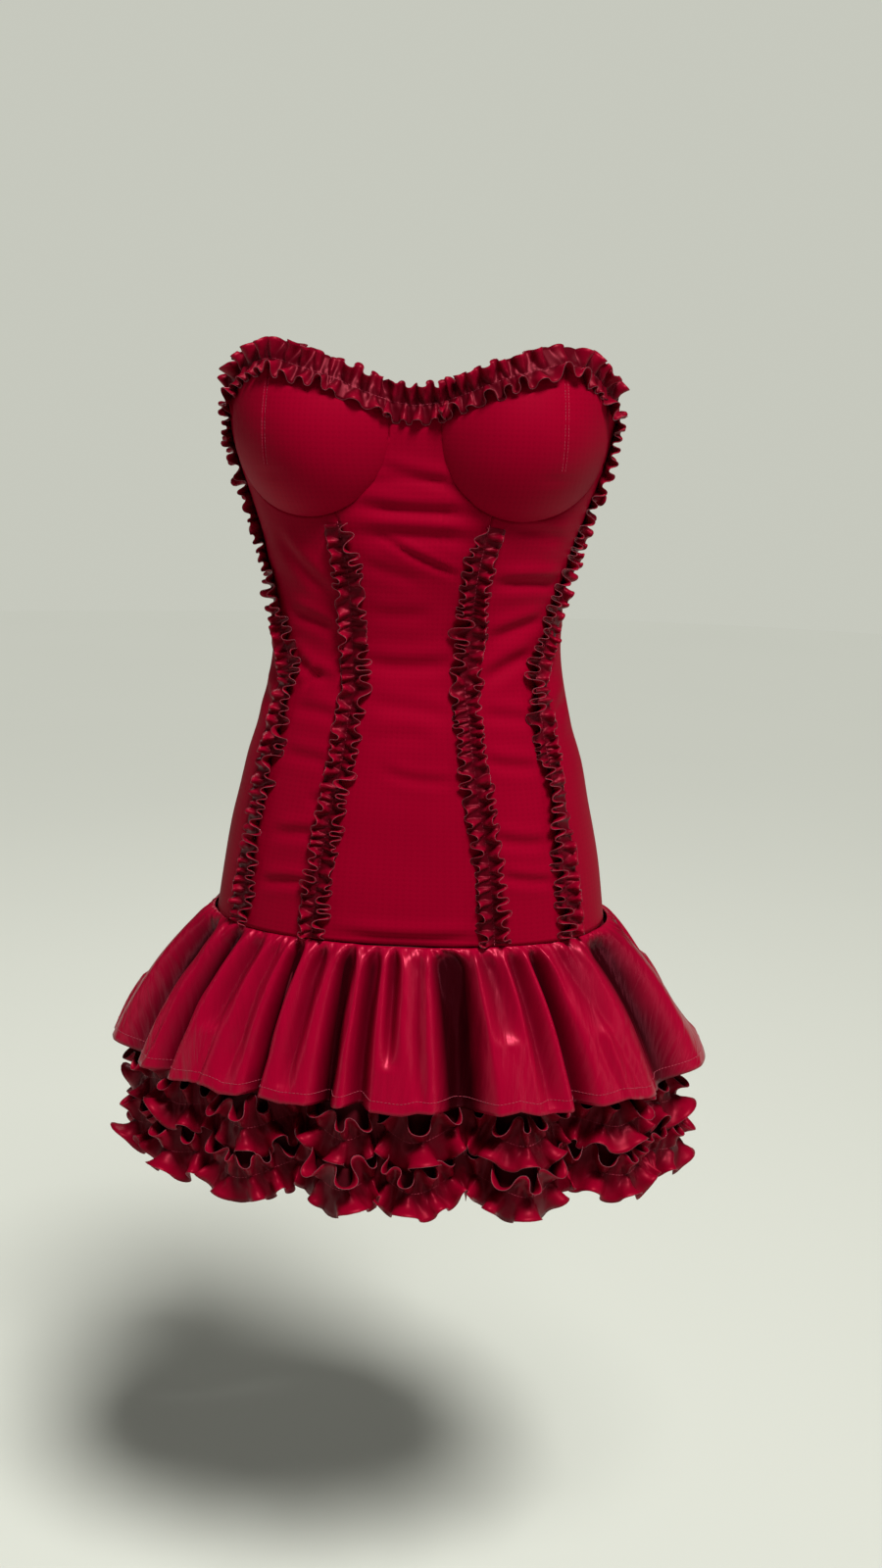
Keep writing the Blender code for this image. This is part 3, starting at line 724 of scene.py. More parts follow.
def cut_size(grid, gathered=False):
    """The flat size of a piece's cut, in metres, and its flat area."""
    steps = np.linalg.norm(np.diff(grid, axis=1), axis=-1)
    drops = np.linalg.norm(np.diff(grid, axis=0), axis=-1)
    across = np.nansum(steps, axis=1)
    down = np.nansum(drops, axis=0)
    if gathered:
        return (float(np.median(down)) * MM, float(np.median(across)) * MM), None
    one = np.cross(grid[1:, :-1] - grid[:-1, :-1], grid[:-1, 1:] - grid[:-1, :-1])
    two = np.cross(grid[1:, :-1] - grid[1:, 1:], grid[:-1, 1:] - grid[1:, 1:])
    area = np.nansum(np.linalg.norm(one, axis=-1) + np.linalg.norm(two, axis=-1)) / 2
    size = (float(across.max()) * MM, float(down.max()) * MM)
    return size, min(float(area) * MM * MM, size[0] * size[1])


def cloth_piece(name, grid, flat_places, material, slot, wall, held, offset=-1.0, depth=None):
    """A cloth piece that stands for the frame's node of the same name."""
    mesh = cloth_mesh(name, grid, flat_places, depth)
    mesh.materials.append(material)
    piece = add_piece(name + "_cloth", mesh, slot, replaces=(name,))
    thicken(piece, wall, offset)
    size, area = cut_size(grid, gathered=held == "gathered")
    return piece, dict(flat=size, held=held, area=area)


# Materials

VIEWPORT_COLOUR = (0.5, 0.02, 0.08, 1)


def add_node(tree, kind, inputs=(), **settings):
    """Add a node, set it, and plug values or other nodes' outputs into its inputs."""
    made = tree.nodes.new(kind)
    for name, value in settings.items():
        setattr(made, name, value)
    for socket, value in dict(inputs).items():
        if isinstance(value, bpy.types.NodeSocket):
            tree.links.new(value, made.inputs[socket])
        else:
            made.inputs[socket].default_value = value
    return made


def new_material(name, shader_inputs):
    """A material with one principled shader, and that shader."""
    material = bpy.data.materials.new(name)
    material.use_nodes = True
    tree = material.node_tree
    tree.nodes.clear()
    shader = add_node(tree, "ShaderNodeBsdfPrincipled", shader_inputs)
    add_node(tree, "ShaderNodeOutputMaterial", {"Surface": shader.outputs[0]})
    material.diffuse_color = VIEWPORT_COLOUR
    return material, tree, shader


def shade(colour, share):
    return (colour[0] * share, colour[1] * share, colour[2] * share, 1.0)


def painted_fold_shade(tree, tone, colour, share):
    """A tone with painted shade in the folds: it falls to this share of the colour at the bottom of a fold."""
    depth = add_node(tree, "ShaderNodeAttribute", attribute_name="fold_depth")
    return add_node(
        tree,
        "ShaderNodeMix",
        {0: depth.outputs["Fac"], 6: tone, 7: shade(colour, share)},
        data_type="RGBA",
    ).outputs[2]


def patchy(tree, colour, patch, low, high, **noise):
    """Colour between two shares of itself in patches of this size in mm, and the patches."""
    place = add_node(tree, "ShaderNodeTexCoord")
    cloud = add_node(
        tree,
        "ShaderNodeTexNoise",
        {"Vector": place.outputs["Object"], "Scale": 1 / (patch * MM), **noise},
    ).outputs["Fac"]
    tone = add_node(
        tree,
        "ShaderNodeMix",
        {0: cloud, 6: shade(colour, low), 7: shade(colour, high)},
        data_type="RGBA",
    )
    return tone.outputs[2], cloud


def streaks(tree, wide, long):
    """Noise drawn out along the hang of the cloth, in streaks of this size in mm."""
    place = add_node(tree, "ShaderNodeTexCoord")
    stretched = add_node(
        tree,
        "ShaderNodeMapping",
        {"Vector": place.outputs["UV"], "Scale": (1 / (wide * MM), 1 / (long * MM), 1)},
    )
    return add_node(
        tree, "ShaderNodeTexNoise", {"Vector": stretched.outputs[0], "Scale": 1.0, "Detail": 2.0}
    ).outputs["Fac"]


def woven(tree, shader, colour, thread, patch, relief, worn, folds=None):
    """Colour that varies in soft patches, and the relief of crossed threads.

    thread is the spacing of the threads and patch the size of a patch, in mm. relief is
    how strong the threads stand out, worn the darkest share of the colour, and folds the
    share of the colour that the painted shade falls to at the bottom of a fold. The grooves
    between the threads take a painted shade too.
    """
    tone, _ = patchy(tree, colour, patch, worn, 2 - worn, Detail=3.0)
    place = add_node(tree, "ShaderNodeTexCoord")
    threads = [
        add_node(
            tree,
            "ShaderNodeTexWave",
            {"Vector": place.outputs["UV"], "Scale": 0.05 / (thread * MM), "Distortion": 0.6},
            bands_direction=direction,
        ).outputs["Fac"]
        for direction in "XY"
    ]
    crossed = add_node(tree, "ShaderNodeMath", dict(enumerate(threads)))
    bump = add_node(
        tree,
        "ShaderNodeBump",
        {"Height": crossed.outputs[0], "Strength": relief, "Distance": 0.3 * MM},
    )
    # Painted shade: the grooves between the threads are darker, down to 0.92 of the colour
    dark = add_node(
        tree,
        "ShaderNodeMix",
        {0: crossed.outputs[0], 6: shade(colour, 0.92), 7: tone},
        data_type="RGBA",
    )
    tone = dark.outputs[2]
    if folds is not None:
        tone = painted_fold_shade(tree, tone, colour, folds)
    tree.links.new(tone, shader.inputs["Base Color"])
    tree.links.new(bump.outputs[0], shader.inputs["Normal"])


def stretch_crepe(colours):
    """Polyester and elastane crepe, woven: matte, with a soft bloom where it turns away."""
    material, tree, shader = new_material(
        "stretch_crepe",
        {
            "Roughness": 0.62,
            "IOR": 1.46,
            "Specular IOR Level": 0.1,
            "Specular Tint": linear("#FF4060"),
            "Sheen Weight": 0.03,
            "Sheen Roughness": 0.45,
            "Sheen Tint": linear("#D01038"),
        },
    )
    # Threads 0.35 mm apart would not show, so they are drawn 0.7 mm apart
    woven(tree, shader, tuple(colours.bodice), thread=0.7, patch=60, relief=0.10, worn=0.93)
    return material


def ruffle_satin(colours):
    """Crepe-backed satin, cut in strips: soft gloss on every turn of the cloth."""
    material, tree, shader = new_material(
        "ruffle_crepe_satin",
        {
            "Roughness": 0.42,
            "IOR": 1.4,
            "Specular IOR Level": 0.5,
            "Specular Tint": linear("#FF5870"),
            "Sheen Weight": 0.05,
            "Sheen Roughness": 0.4,
            "Sheen Tint": linear("#D01038"),
        },
    )
    # Painted shade: the cloth falls to 0.28 of its colour at the bottom of a fold
    woven(
        tree, shader, tuple(colours.ruffle), thread=1.2, patch=30, relief=0.15, worn=0.85,
        folds=0.28,
    )
    return material


def peplum_satin(colours):
    """Polyester satin, warp faced: long floating threads give smooth bright folds."""
    material, tree, shader = new_material(
        "polyester_satin",
        {
            "Roughness": 0.35,
            "IOR": 1.42,
            "Specular IOR Level": 0.75,
            "Specular Tint": linear("#FF6480"),
            "Anisotropic": 0.35,
            "Sheen Weight": 0.03,
            "Sheen Roughness": 0.35,
            "Sheen Tint": linear("#D01038"),
        },
    )
    colour = tuple(colours.satin)
    # Slubs in the threads of the warp, and soft pulls in the hang of the cloth
    slubs = streaks(tree, wide=1.5, long=60)
    pulls = streaks(tree, wide=7, long=45)
    tone = add_node(
        tree,
        "ShaderNodeMix",
        {0: slubs, 6: shade(colour, 0.86), 7: shade(colour, 1.1)},
        data_type="RGBA",
    )
    fine = add_node(
        tree,
        "ShaderNodeBump",
        {"Height": slubs, "Strength": 0.06, "Distance": 0.3 * MM},
    )
    soft = add_node(
        tree,
        "ShaderNodeBump",
        {
            "Height": pulls,
            "Strength": 0.45,
            "Distance": 3 * MM,
            "Normal": fine.outputs[0],
        },
    )
    # Painted shade: the satin falls to 0.06 of its colour at the bottom of a fold
    folded = painted_fold_shade(tree, tone.outputs[2], colour, 0.06)
    tree.links.new(folded, shader.inputs["Base Color"])
    tree.links.new(soft.outputs[0], shader.inputs["Normal"])
    return material


def underskirt_crepe(colours):
    """Crepe lining cloth: matte and dark."""
    material, tree, shader = new_material(
        "underskirt_crepe",
        {
            "Roughness": 0.7,
            "Specular IOR Level": 0.15,
            "Sheen Weight": 0.04,
            "Sheen Roughness": 0.5,
            "Sheen Tint": linear("#D01038"),
        },
    )
    woven(tree, shader, tuple(colours.underskirt), thread=1.4, patch=45, relief=0.12, worn=0.88)
    return material


def spun_thread(name, colour):
    """Spun polyester thread: a dull sheen, twisted from fine fibres."""
    material, tree, shader = new_material(
        name, {"Roughness": 0.55, "Sheen Weight": 0.15, "Sheen Roughness": 0.5}
    )
    # One turn of the twist a millimetre
    tone, _ = patchy(tree, colour, 1, 0.7, 1.2)
    tree.links.new(tone, shader.inputs["Base Color"])
    return material


def zip_nylon(colours):
    """Dyed nylon coil: smooth and slightly glossy."""
    material, tree, shader = new_material("dyed_nylon_coil", {"Roughness": 0.38, "IOR": 1.53})
    tone, _ = patchy(tree, tuple(colours.zip), 8, 0.85, 1.2)
    tree.links.new(tone, shader.inputs["Base Color"])
    return material


def enamelled_zinc(colours):
    """Die-cast zinc under crimson enamel: a hard gloss, rubbed a little in small patches."""
    material, tree, shader = new_material(
        "enamelled_zinc", {"Metallic": 0.0, "Coat Weight": 0.6, "Coat Roughness": 0.12}
    )
    tone, rub = patchy(tree, tuple(colours.zip), 3, 0.9, 1.5)
    gloss = add_node(tree, "ShaderNodeMapRange", {"Value": rub, "To Min": 0.25, "To Max": 0.45})
    tree.links.new(tone, shader.inputs["Base Color"])
    tree.links.new(gloss.outputs[0], shader.inputs["Roughness"])
    return material


def material(name, make, *values):
    """A finished material, made the first time that it is asked for."""
    return bpy.data.materials.get(name) or make(*values)


# Stitches, overlocked edges and zip teeth

# A stitch is this share of the way to the next one
STITCH_SHARE = 0.72
# Steps of the overlock's bead along the edge
BEAD_STEP = 1.6 * MM
# How far a loop of the overlock reaches in from the edge, as a share of its length
LOOP_INSET = 0.42


def new_tree(name, sizes):
    """A geometry node tree with named sizes in mm, a material, and its way in."""
    tree = bpy.data.node_groups.new(name, "GeometryNodeTree")
    face = tree.interface
    face.new_socket("Geometry", in_out="INPUT", socket_type="NodeSocketGeometry")
    for size, value in sizes.items():
        face.new_socket(size, in_out="INPUT", socket_type="NodeSocketFloat").default_value = value
    face.new_socket("Material", in_out="INPUT", socket_type="NodeSocketMaterial")
    face.new_socket("Geometry", in_out="OUTPUT", socket_type="NodeSocketGeometry")
    return tree, tree.nodes.new("NodeGroupInput").outputs


def rods_along(tree, line, spacing, radius, length, direction, sink, sides=4):
    """Rods set at even spaces along a line, each pointing the way an attribute gives."""
    points = add_node(
        tree, "GeometryNodeResampleCurve", {"Curve": line, "Length": spacing}, mode="LENGTH"
    )
    rod = add_node(
        tree, "GeometryNodeMeshCylinder", {"Vertices": sides, "Radius": radius, "Depth": length}
    )
    offset = add_node(tree, "ShaderNodeCombineXYZ", {2: sink})
    moved = add_node(
        tree,
        "GeometryNodeTransform",
        {"Geometry": rod.outputs[0], "Translation": offset.outputs[0]},
    )
    way = add_node(
        tree, "GeometryNodeInputNamedAttribute", {"Name": direction}, data_type="FLOAT_VECTOR"
    )
    turned = add_node(
        tree, "FunctionNodeAlignRotationToVector", {"Vector": way.outputs[0]}, axis="Z"
    )
    return add_node(
        tree,
        "GeometryNodeInstanceOnPoints",
        {"Points": points.outputs[0], "Instance": moved.outputs[0], "Rotation": turned.outputs[0]},
    ).outputs[0]


def end_tree(tree, parts, paint):
    """Join what the tree made, make it real and give it its material."""
    joined = add_node(tree, "GeometryNodeJoinGeometry")
    for part in parts:
        tree.links.new(part, joined.inputs[0])
    real = add_node(tree, "GeometryNodeRealizeInstances", {0: joined.outputs[0]})
    painted = add_node(
        tree, "GeometryNodeSetMaterial", {"Geometry": real.outputs[0], "Material": paint}
    )
    smooth = add_node(tree, "GeometryNodeSetShadeSmooth", {0: painted.outputs[0]})
    add_node(tree, "NodeGroupOutput", {0: smooth.outputs[0]})


def overlock_tree():
    """A bead of thread round the raw edge, crossed by a loop at each stitch."""
    tree, given = new_tree(
        "overlocked edge", {"Loop spacing": 2.6, "Thread radius": 0.4, "Loop length": 2.4}
    )
    line = add_node(tree, "GeometryNodeMeshToCurve", {"Mesh": given["Geometry"]}).outputs[0]
    bead_line = add_node(
        tree, "GeometryNodeResampleCurve", {"Curve": line, "Length": BEAD_STEP}, mode="LENGTH"
    )
    profile = add_node(
        tree,
        "GeometryNodeCurvePrimitiveCircle",
        {"Resolution": 4, "Radius": given["Thread radius"]},
    )
    bead = add_node(
        tree,
        "GeometryNodeCurveToMesh",
        {"Curve": bead_line.outputs[0], "Profile Curve": profile.outputs[0], "Fill Caps": True},
    )
    half = add_node(
        tree, "ShaderNodeMath", {0: given["Loop length"], 1: LOOP_INSET}, operation="MULTIPLY"
    )
    loops = rods_along(
        tree,
        line,
        given["Loop spacing"],
        given["Thread radius"],
        given["Loop length"],
        "way",
        half.outputs[0],
    )
    end_tree(tree, (bead.outputs[0], loops), given["Material"])
    return tree


def stitch_tree():
    """A row of short threads, each lying along the seam."""
    tree, given = new_tree(
        "straight stitches", {"Stitch spacing": 3.2, "Thread radius": 0.3, "Stitch length": 2.2}
    )
    line = add_node(tree, "GeometryNodeMeshToCurve", {"Mesh": given["Geometry"]}).outputs[0]
    threads = rods_along(
        tree,
        line,
        given["Stitch spacing"],
        given["Thread radius"],
        given["Stitch length"],
        "way",
        0.0,
        sides=6,
    )
    end_tree(tree, (threads,), given["Material"])
    return tree


def grown(name, lines, tree_name, make_tree, sizes, paint, slot):
    """Run a geometry node tree along lines of points and keep its result as a piece.

    Each line holds its points and the direction of the thread at each, in mm.
    """
    tree = bpy.data.node_groups.get(tree_name) or make_tree()
    points, ways, edges = [], [], []
    for line, way in lines:
        first = sum(len(part) for part in points)
        edges += [(first + k, first + k + 1) for k in range(len(line) - 1)]
        points.append(line * MM)
        ways.append(way)
    mesh = bpy.data.meshes.new(name + "_line")
    mesh.from_pydata(np.concatenate(points).tolist(), edges, [])
    attribute = mesh.attributes.new("way", "FLOAT_VECTOR", "POINT")
    attribute.data.foreach_set("vector", np.concatenate(ways).astype(np.float32).ravel())
    guide = bpy.data.objects.new(name + "_line", mesh)
    bpy.context.scene.collection.objects.link(guide)
    modifier = guide.modifiers.new("thread", "NODES")
    modifier.node_group = tree
    for item in tree.interface.items_tree:
        if item.in_out == "INPUT" and item.name in sizes:
            modifier[item.identifier] = sizes[item.name] * MM
        elif item.in_out == "INPUT" and item.name == "Material":
            modifier[item.identifier] = paint
    depsgraph = bpy.context.evaluated_depsgraph_get()
    made = bpy.data.meshes.new_from_object(guide.evaluated_get(depsgraph))
    made.name = name
    bpy.data.objects.remove(guide, do_unlink=True)
    for spare in [a.name for a in made.attributes if a.name == "way"]:
        made.attributes.remove(made.attributes[spare])
    if not made.polygons:
        raise ValueError(name + " came out empty")
    return add_piece(name, made, slot)


def overlock(name, lines):
    sizes = {
        "Loop spacing": SIZES.overlock_spacing,
        "Thread radius": 0.25,
        "Loop length": 1.7,
    }
    thread = material("spun_polyester_overlock", spun_thread, "spun_polyester_overlock",
                      tuple(COLOURS.thread))
    return grown(name, lines, "overlocked edge", overlock_tree, sizes, thread, "ruffle_cloth")


def stitches(name, lines, slot, spacing, radius):
    sizes = {
        "Stitch spacing": spacing,
        "Thread radius": radius,
        "Stitch length": spacing * STITCH_SHARE,
    }
    thread = material("spun_polyester_seam", spun_thread, "spun_polyester_seam",
                      tuple(COLOURS.seam_thread))
    return grown(name, lines, "straight stitches", stitch_tree, sizes, thread, slot)


def with_tangents(line):
    """A line and the direction that it runs in at each point."""
    return line, unit(np.gradient(line, axis=0))


# Bodice


# How far the top of the centre front reaches in under the cups, in mm
GORE_UNDERLAP = 3.0
# How far the panels under the cups reach in behind the cups' edges, in mm
CUP_UNDERLAP = 0.4
# How far below the cup's centre the outer seam reaches the outer strip, in mm
OUTER_SEAM_RUN = 60
# How a panel's edge rolls in beside its seam, in mm
ROLL_DEPTH = 0.7
ROLL_WIDTH = 1.6
# A height near the top edge, and how often it is brought closer to the edge
TOP_GUESS_Z = 200.0
TOP_PASSES = 12
# The groove of a cup's short seam, in mm, and the puckers beside it
GROOVE_DEPTH = 1.0
GROOVE_WIDTH = 0.75
PUCKERS_HEIGHT = 0.22
PUCKERS_WIDTH = 7
# The dent where that seam ends: depth, and its reach across and down, in mm
SEAM_END_DENT = 0.7
SEAM_END_REACH = (14, 5)
# Grid lines set close together round the seam, in degrees round the cup
GROOVE_TURNS = (-2.2, -1.3, -0.8, -0.4, 0, 0.4, 0.8, 1.3, 2.2)
GROOVE_CLEAR = 2.6


def gap_angle(z):
    """Half the seam gap, as an angle round the body."""
    return np.degrees(SEAM_GAP / 2 / BODY_WIDTH(z))


def cup_edge(turn, spare=0.0):
    """A place on the cup's seam, from straight in, 0, through the bottom, 90, to 180."""
    reach = CUP_RADIUS + spare
    turn = np.radians(turn)
    return CUP_CENTRE_X - reach * np.cos(turn), CUP_CENTRE_Z - reach * np.sin(turn)


def outer_seam(z):
    """The outer seam's angle: it leaves the cup's edge and goes under the outer strip."""
    cup_side = angle_at(CUP_CENTRE_X + CUP_RADIUS + SEAM_GAP, z)
    return lerp(cup_side, OUTER_STRIP(z), ease((CUP_CENTRE_Z - z) / OUTER_SEAM_RUN))


def pulled(angle, z):
    """The outside of a panel with its drag lines, rolled in beside its seams."""
    out, _, _ = outer_normal(torso, angle, z)
    across = length_round(angle)
    left = across - np.nanmin(across, axis=1, keepdims=True)
    right = np.nanmax(across, axis=1, keepdims=True) - across
    rolled = np.exp(-((left / ROLL_WIDTH) ** 2)) + np.exp(-((right / ROLL_WIDTH) ** 2))
    return torso(angle, z) + out * (drag_relief(angle, z) - ROLL_DEPTH * rolled)[..., None]


def bodice_piece(name, angle, z):
    grid = pulled(angle, z)
    crepe = material("stretch_crepe", stretch_crepe, COLOURS)
    flat_places = (length_round(angle), z)
    return cloth_piece(
        name, grid, flat_places, crepe, "stretch_cloth", SIZES.cloth_wall, "stretched"
    )


def center_panel():
    """The centre front: up to the dip of the neckline between the cups."""
    edge_steps, gore_steps, gore_rows, rows = 22, 18, 9, 120
    turns = np.linspace(CUP_INNER_SEAM_TURN, 0, edge_steps + 1)
    edge_x, edge_z = cup_edge(turns, -CUP_UNDERLAP)
    gore_x = np.linspace(-edge_x[-1], edge_x[-1], gore_steps + 1)[1:-1]
    head_x = np.concatenate((-edge_x, gore_x, edge_x[::-1]))
    head_z = np.concatenate((edge_z, np.full(gore_steps - 1, float(CUP_CENTRE_Z)), edge_z[::-1]))
    count = len(head_x) - 1
    t = np.linspace(0, 1, rows + 1)[:, None]
    height = lerp(head_z[None, :], HIP_SEAM_Z, t)
    edge_angle = INNER_SEAM(height) - gap_angle(height)
    head_share = angle_at(head_x, head_z) / (INNER_SEAM(head_z) - gap_angle(head_z))
    even = 2 * closer_at_ends(count) - 1
    share = np.clip(lerp(head_share[None, :], even[None, :], np.sin(math.pi / 2 * t)), -1, 1)
    angle = edge_angle * share
    head_angle = angle_at(head_x, head_z)
    rise = np.arange(gore_rows)[:, None] / gore_rows
    gore_z = lerp(TOP_EDGE(np.abs(head_angle))[None, :], head_z[None, :], rise)
    gore_angle = angle_at(head_x * (1 + GORE_UNDERLAP / edge_x[-1] * (1 - rise)), gore_z)
    gore_angle[:, :edge_steps] = np.nan
    gore_angle[:, edge_steps + gore_steps + 1 :] = np.nan
    angle = np.concatenate((gore_angle, angle))
    height = np.concatenate((gore_z, height))
    return angle, height


def front_side_panel(side):
    """Between the inner and outer seams, under the cup."""
    columns, rows = 44, 110
    turns = lerp(CUP_INNER_SEAM_TURN, CUP_OUTER_SEAM_TURN, np.linspace(0, 1, columns + 1))
    x, z = cup_edge(turns, -CUP_UNDERLAP)
    t = np.linspace(0, 1, rows + 1)[:, None]
    height = lerp(z[None, :], HIP_SEAM_Z, t)
    inner = INNER_SEAM(height) + gap_angle(height)
    outer = outer_seam(height) - gap_angle(height)
    head_inner = INNER_SEAM(z) + gap_angle(z)
    head_outer = outer_seam(z) - gap_angle(z)
    head_share = np.clip((angle_at(x, z) - head_inner) / (head_outer - head_inner), 0, 1)
    share = lerp(head_share[None, :], closer_at_ends(columns)[None, :], np.sin(math.pi / 2 * t))
    share[:, 0], share[:, -1] = 0, 1
    angle = side * lerp(inner, outer, share)
    return (angle, height) if side > 0 else (angle[:, ::-1], height[:, ::-1])


def tall_panel(left, right, columns, rows=100):
    """A panel from the top edge to the hip seam: left and right give an angle for a height."""
    share = closer_at_ends(columns)
    top = np.full(columns + 1, TOP_GUESS_Z)
    for _ in range(TOP_PASSES):
        top = TOP_EDGE(np.abs(lerp(left(top), right(top), share)))
    t = np.linspace(0, 1, rows + 1)[:, None]
    height = lerp(top[None, :], HIP_SEAM_Z, t)
    return lerp(left(height), right(height), share[None, :]), height


def side_panel(side):
    def front(z):
        return outer_seam(z) + gap_angle(z)

    def back(z):
        return SIDE_BACK_SEAM - gap_angle(z)

    if side > 0:
        return tall_panel(front, back, columns=36)
    return tall_panel(lambda z: -back(z), lambda z: -front(z), columns=36)


def back_panel(side):
    def seam(z):
        return SIDE_BACK_SEAM + gap_angle(z)

    def zip_edge(z):
        reach = (ZIP_HALF_WIDTH + SEAM_GAP) / BODY_WIDTH(z)
        return 180 - np.degrees(np.arcsin(reach ** (BODY_SQUARENESS / 2)))

    if side > 0:
        return tall_panel(seam, zip_edge, columns=46)
    return tall_panel(lambda z: -zip_edge(z), lambda z: -seam(z), columns=46)


def cup(name, side):
    """A moulded cup: round below, with straight sides up to the neckline and a dart."""
    columns, rows = 64, 56
    dart_turn = math.degrees(math.acos((CUP_CENTRE_X - CUP_DART_X) / CUP_RADIUS))
    turns = 180 * closer_at_ends(columns)
    beside_dart = dart_turn + np.array(GROOVE_TURNS)
    turns = turns[np.abs(turns - dart_turn) > GROOVE_CLEAR]
    turns = np.sort(np.concatenate((turns, beside_dart)))
    x, bottom = cup_edge(turns)
    top = np.full(len(x), float(CUP_CENTRE_Z))
    for _ in range(TOP_PASSES):
        top = TOP_EDGE(angle_at(x, top))
    t = np.sin(math.pi / 2 * np.linspace(0, 1, rows + 1))[:, None]
    z = lerp(top[None, :], bottom[None, :], t)
    x = np.broadcast_to(x, z.shape)
    angle = side * angle_at(x, z)
    grid = bodice(angle, z)
    out, _, _ = outer_normal(bodice, angle, z)
    off, rise = x - CUP_DART_X, z - CUP_DART_FOOT
    groove = np.exp(-((off / GROOVE_WIDTH) ** 2)) * ease(rise / 12)
    puckers = np.exp(-((off / PUCKERS_WIDTH) ** 2)) * ease((rise + 8) / 20)
    waves = np.sin(z / 1.9 + 2 * np.sin(z / 9))
    across, down = SEAM_END_REACH
    dent = np.exp(-(((off + 4) / across) ** 2 + ((rise + 6) / down) ** 2))
    relief = PUCKERS_HEIGHT * puckers * waves - GROOVE_DEPTH * groove - SEAM_END_DENT * dent
    grid = grid + out * relief[..., None]
    flat_places = (x * side, z)
    if side < 0:
        grid = grid[:, ::-1]
        flat_places = (flat_places[0][:, ::-1], z[:, ::-1])
    crepe = material("stretch_crepe", stretch_crepe, COLOURS)
    return cloth_piece(
        name, grid, flat_places, crepe, "stretch_cloth", SIZES.cloth_wall, "stretched"
    )


def dart_line(side):
    """The stitches down a cup's short seam: both sides of the groove."""
    lines = []
    for beside_seam in (-DART_STITCH_OFF, DART_STITCH_OFF):
        z = np.linspace(CUP_DART_FOOT + 2, DART_STITCH_TOP, 40)
        angle = side * angle_at(np.full(z.shape, CUP_DART_X + beside_seam), z)
        out, _, _ = outer_normal(bodice, angle, z)
        lines.append(with_tangents(bodice(angle, z) + out * 0.02))
    return lines


# Ruffles


class Wave:
    """The wave of a gathered edge, tabled over its phase and over the strength of its swing."""

    PHASES, LEVELS, STRONGEST = 128, 40, 2.0

    def __init__(self, crease):
        """crease is how tightly the edge turns between its straight faces."""
        phase = np.linspace(0, 2 * np.pi, self.PHASES + 1)
        strengths = np.linspace(0, self.STRONGEST, self.LEVELS + 1)
        turning = np.tanh(crease * np.sin(phase)) / math.tanh(crease)
        heading = strengths[:, None] * turning[None, :]
        ahead, out = self.run(np.cos(heading), phase), self.run(np.sin(heading), phase)
        self.advance = ahead[:, -1] / (2 * np.pi)
        self.ahead = ahead - self.advance[:, None] * phase[None, :]
        self.out = out - out.mean(axis=1, keepdims=True)

    @staticmethod
    def run(rate, phase):
        middle = (rate[:, 1:] + rate[:, :-1]) / 2 * (phase[1] - phase[0])
        return np.concatenate((np.zeros((len(rate), 1)), np.cumsum(middle, axis=1)), axis=1)

    def advance_at(self, strength):
        return np.interp(strength, np.linspace(0, self.STRONGEST, self.LEVELS + 1), self.advance)

    def at(self, phase, strength):
        """How far the edge runs ahead and stands out, as shares of the seam a radian."""
        place = (phase % (2 * np.pi)) / (2 * np.pi) * self.PHASES
        level = np.clip(strength / self.STRONGEST, 0, 0.9999) * self.LEVELS
        i, j = np.minimum(place.astype(int), self.PHASES - 1), level.astype(int)
        s, t = place - i, level - j

        def read(table):
            low = lerp(table[j, i], table[j, i + 1], s)
            high = lerp(table[j + 1, i], table[j + 1, i + 1], s)
            return lerp(low, high, t)

        advance = lerp(self.advance[j], self.advance[j + 1], t)
        return read(self.ahead) / advance, read(self.out) / advance


ROUND_WAVE = Wave(0.5)
CREASED_WAVE = Wave(1.6)


def beside(surface, u, z, way, reach):
    """The places on a surface that lie this far off to one side."""
    _, along, up = outer_normal(surface, u, z)
    aa = (along * along).sum(-1)
    au = (along * up).sum(-1)
    uu = (up * up).sum(-1)
    a = (along * way).sum(-1) * reach
    b = (up * way).sum(-1) * reach
    scale = aa * uu - au * au
    return u + (a * uu - b * au) / scale, z + (b * aa - a * au) / scale


# How uneven a ruffle is: spread of its waves' lengths, swings, leans and widths, as shares,
# and how far a wave's edge drifts from its stitching, in radians
WAVE_LENGTH_SPREAD = 0.45
SWING_SPREAD = 0.22
LEAN_SPREAD = 0.3
WIDTH_SPREAD = 0.07
EDGE_DRIFT = 1.9
# Share of the lean at the stitching, and how much is added up to the edge
LEAN_AT_STITCHING = 0.25
LEAN_GAIN = 0.95
BULGE = 0.45
# Small pleats beside the stitching: share of a wave, place and width across
PINCH = (0.11, 0.22, 0.2)
# How softly the cloth comes to rest on its panel, in mm squared
REST_SOFTNESS = 1.4
# Step along the seam that gives the way it runs, in mm
HEADING_STEP = 1.5
# Height over the panel above which a fold takes no painted shade, as a share of the half width
LIT_HEIGHT = 0.62
# How far the gathering stitches lie above the cloth, in mm
GATHERING_LIFT = 0.45
# How a wave's swing grows from the stitching to the edge
SWING_GROWTH = 0.6
# How much painted shade a ruffle takes beside its stitching and in its hollows, from 0 to 1
SHADE_AT_STITCHING = 0.25
SHADE_IN_HOLLOWS = 0.95


def carried_along(values, w, steps):
    """Values for the ends of the waves, carried smoothly along the strip."""
    half = steps // 2
    padded = np.pad(np.interp(w, np.arange(len(values)), values), half, mode="edge")
    return np.convolve(padded, np.ones(steps + 1) / (steps + 1), mode="same")[half:-half]


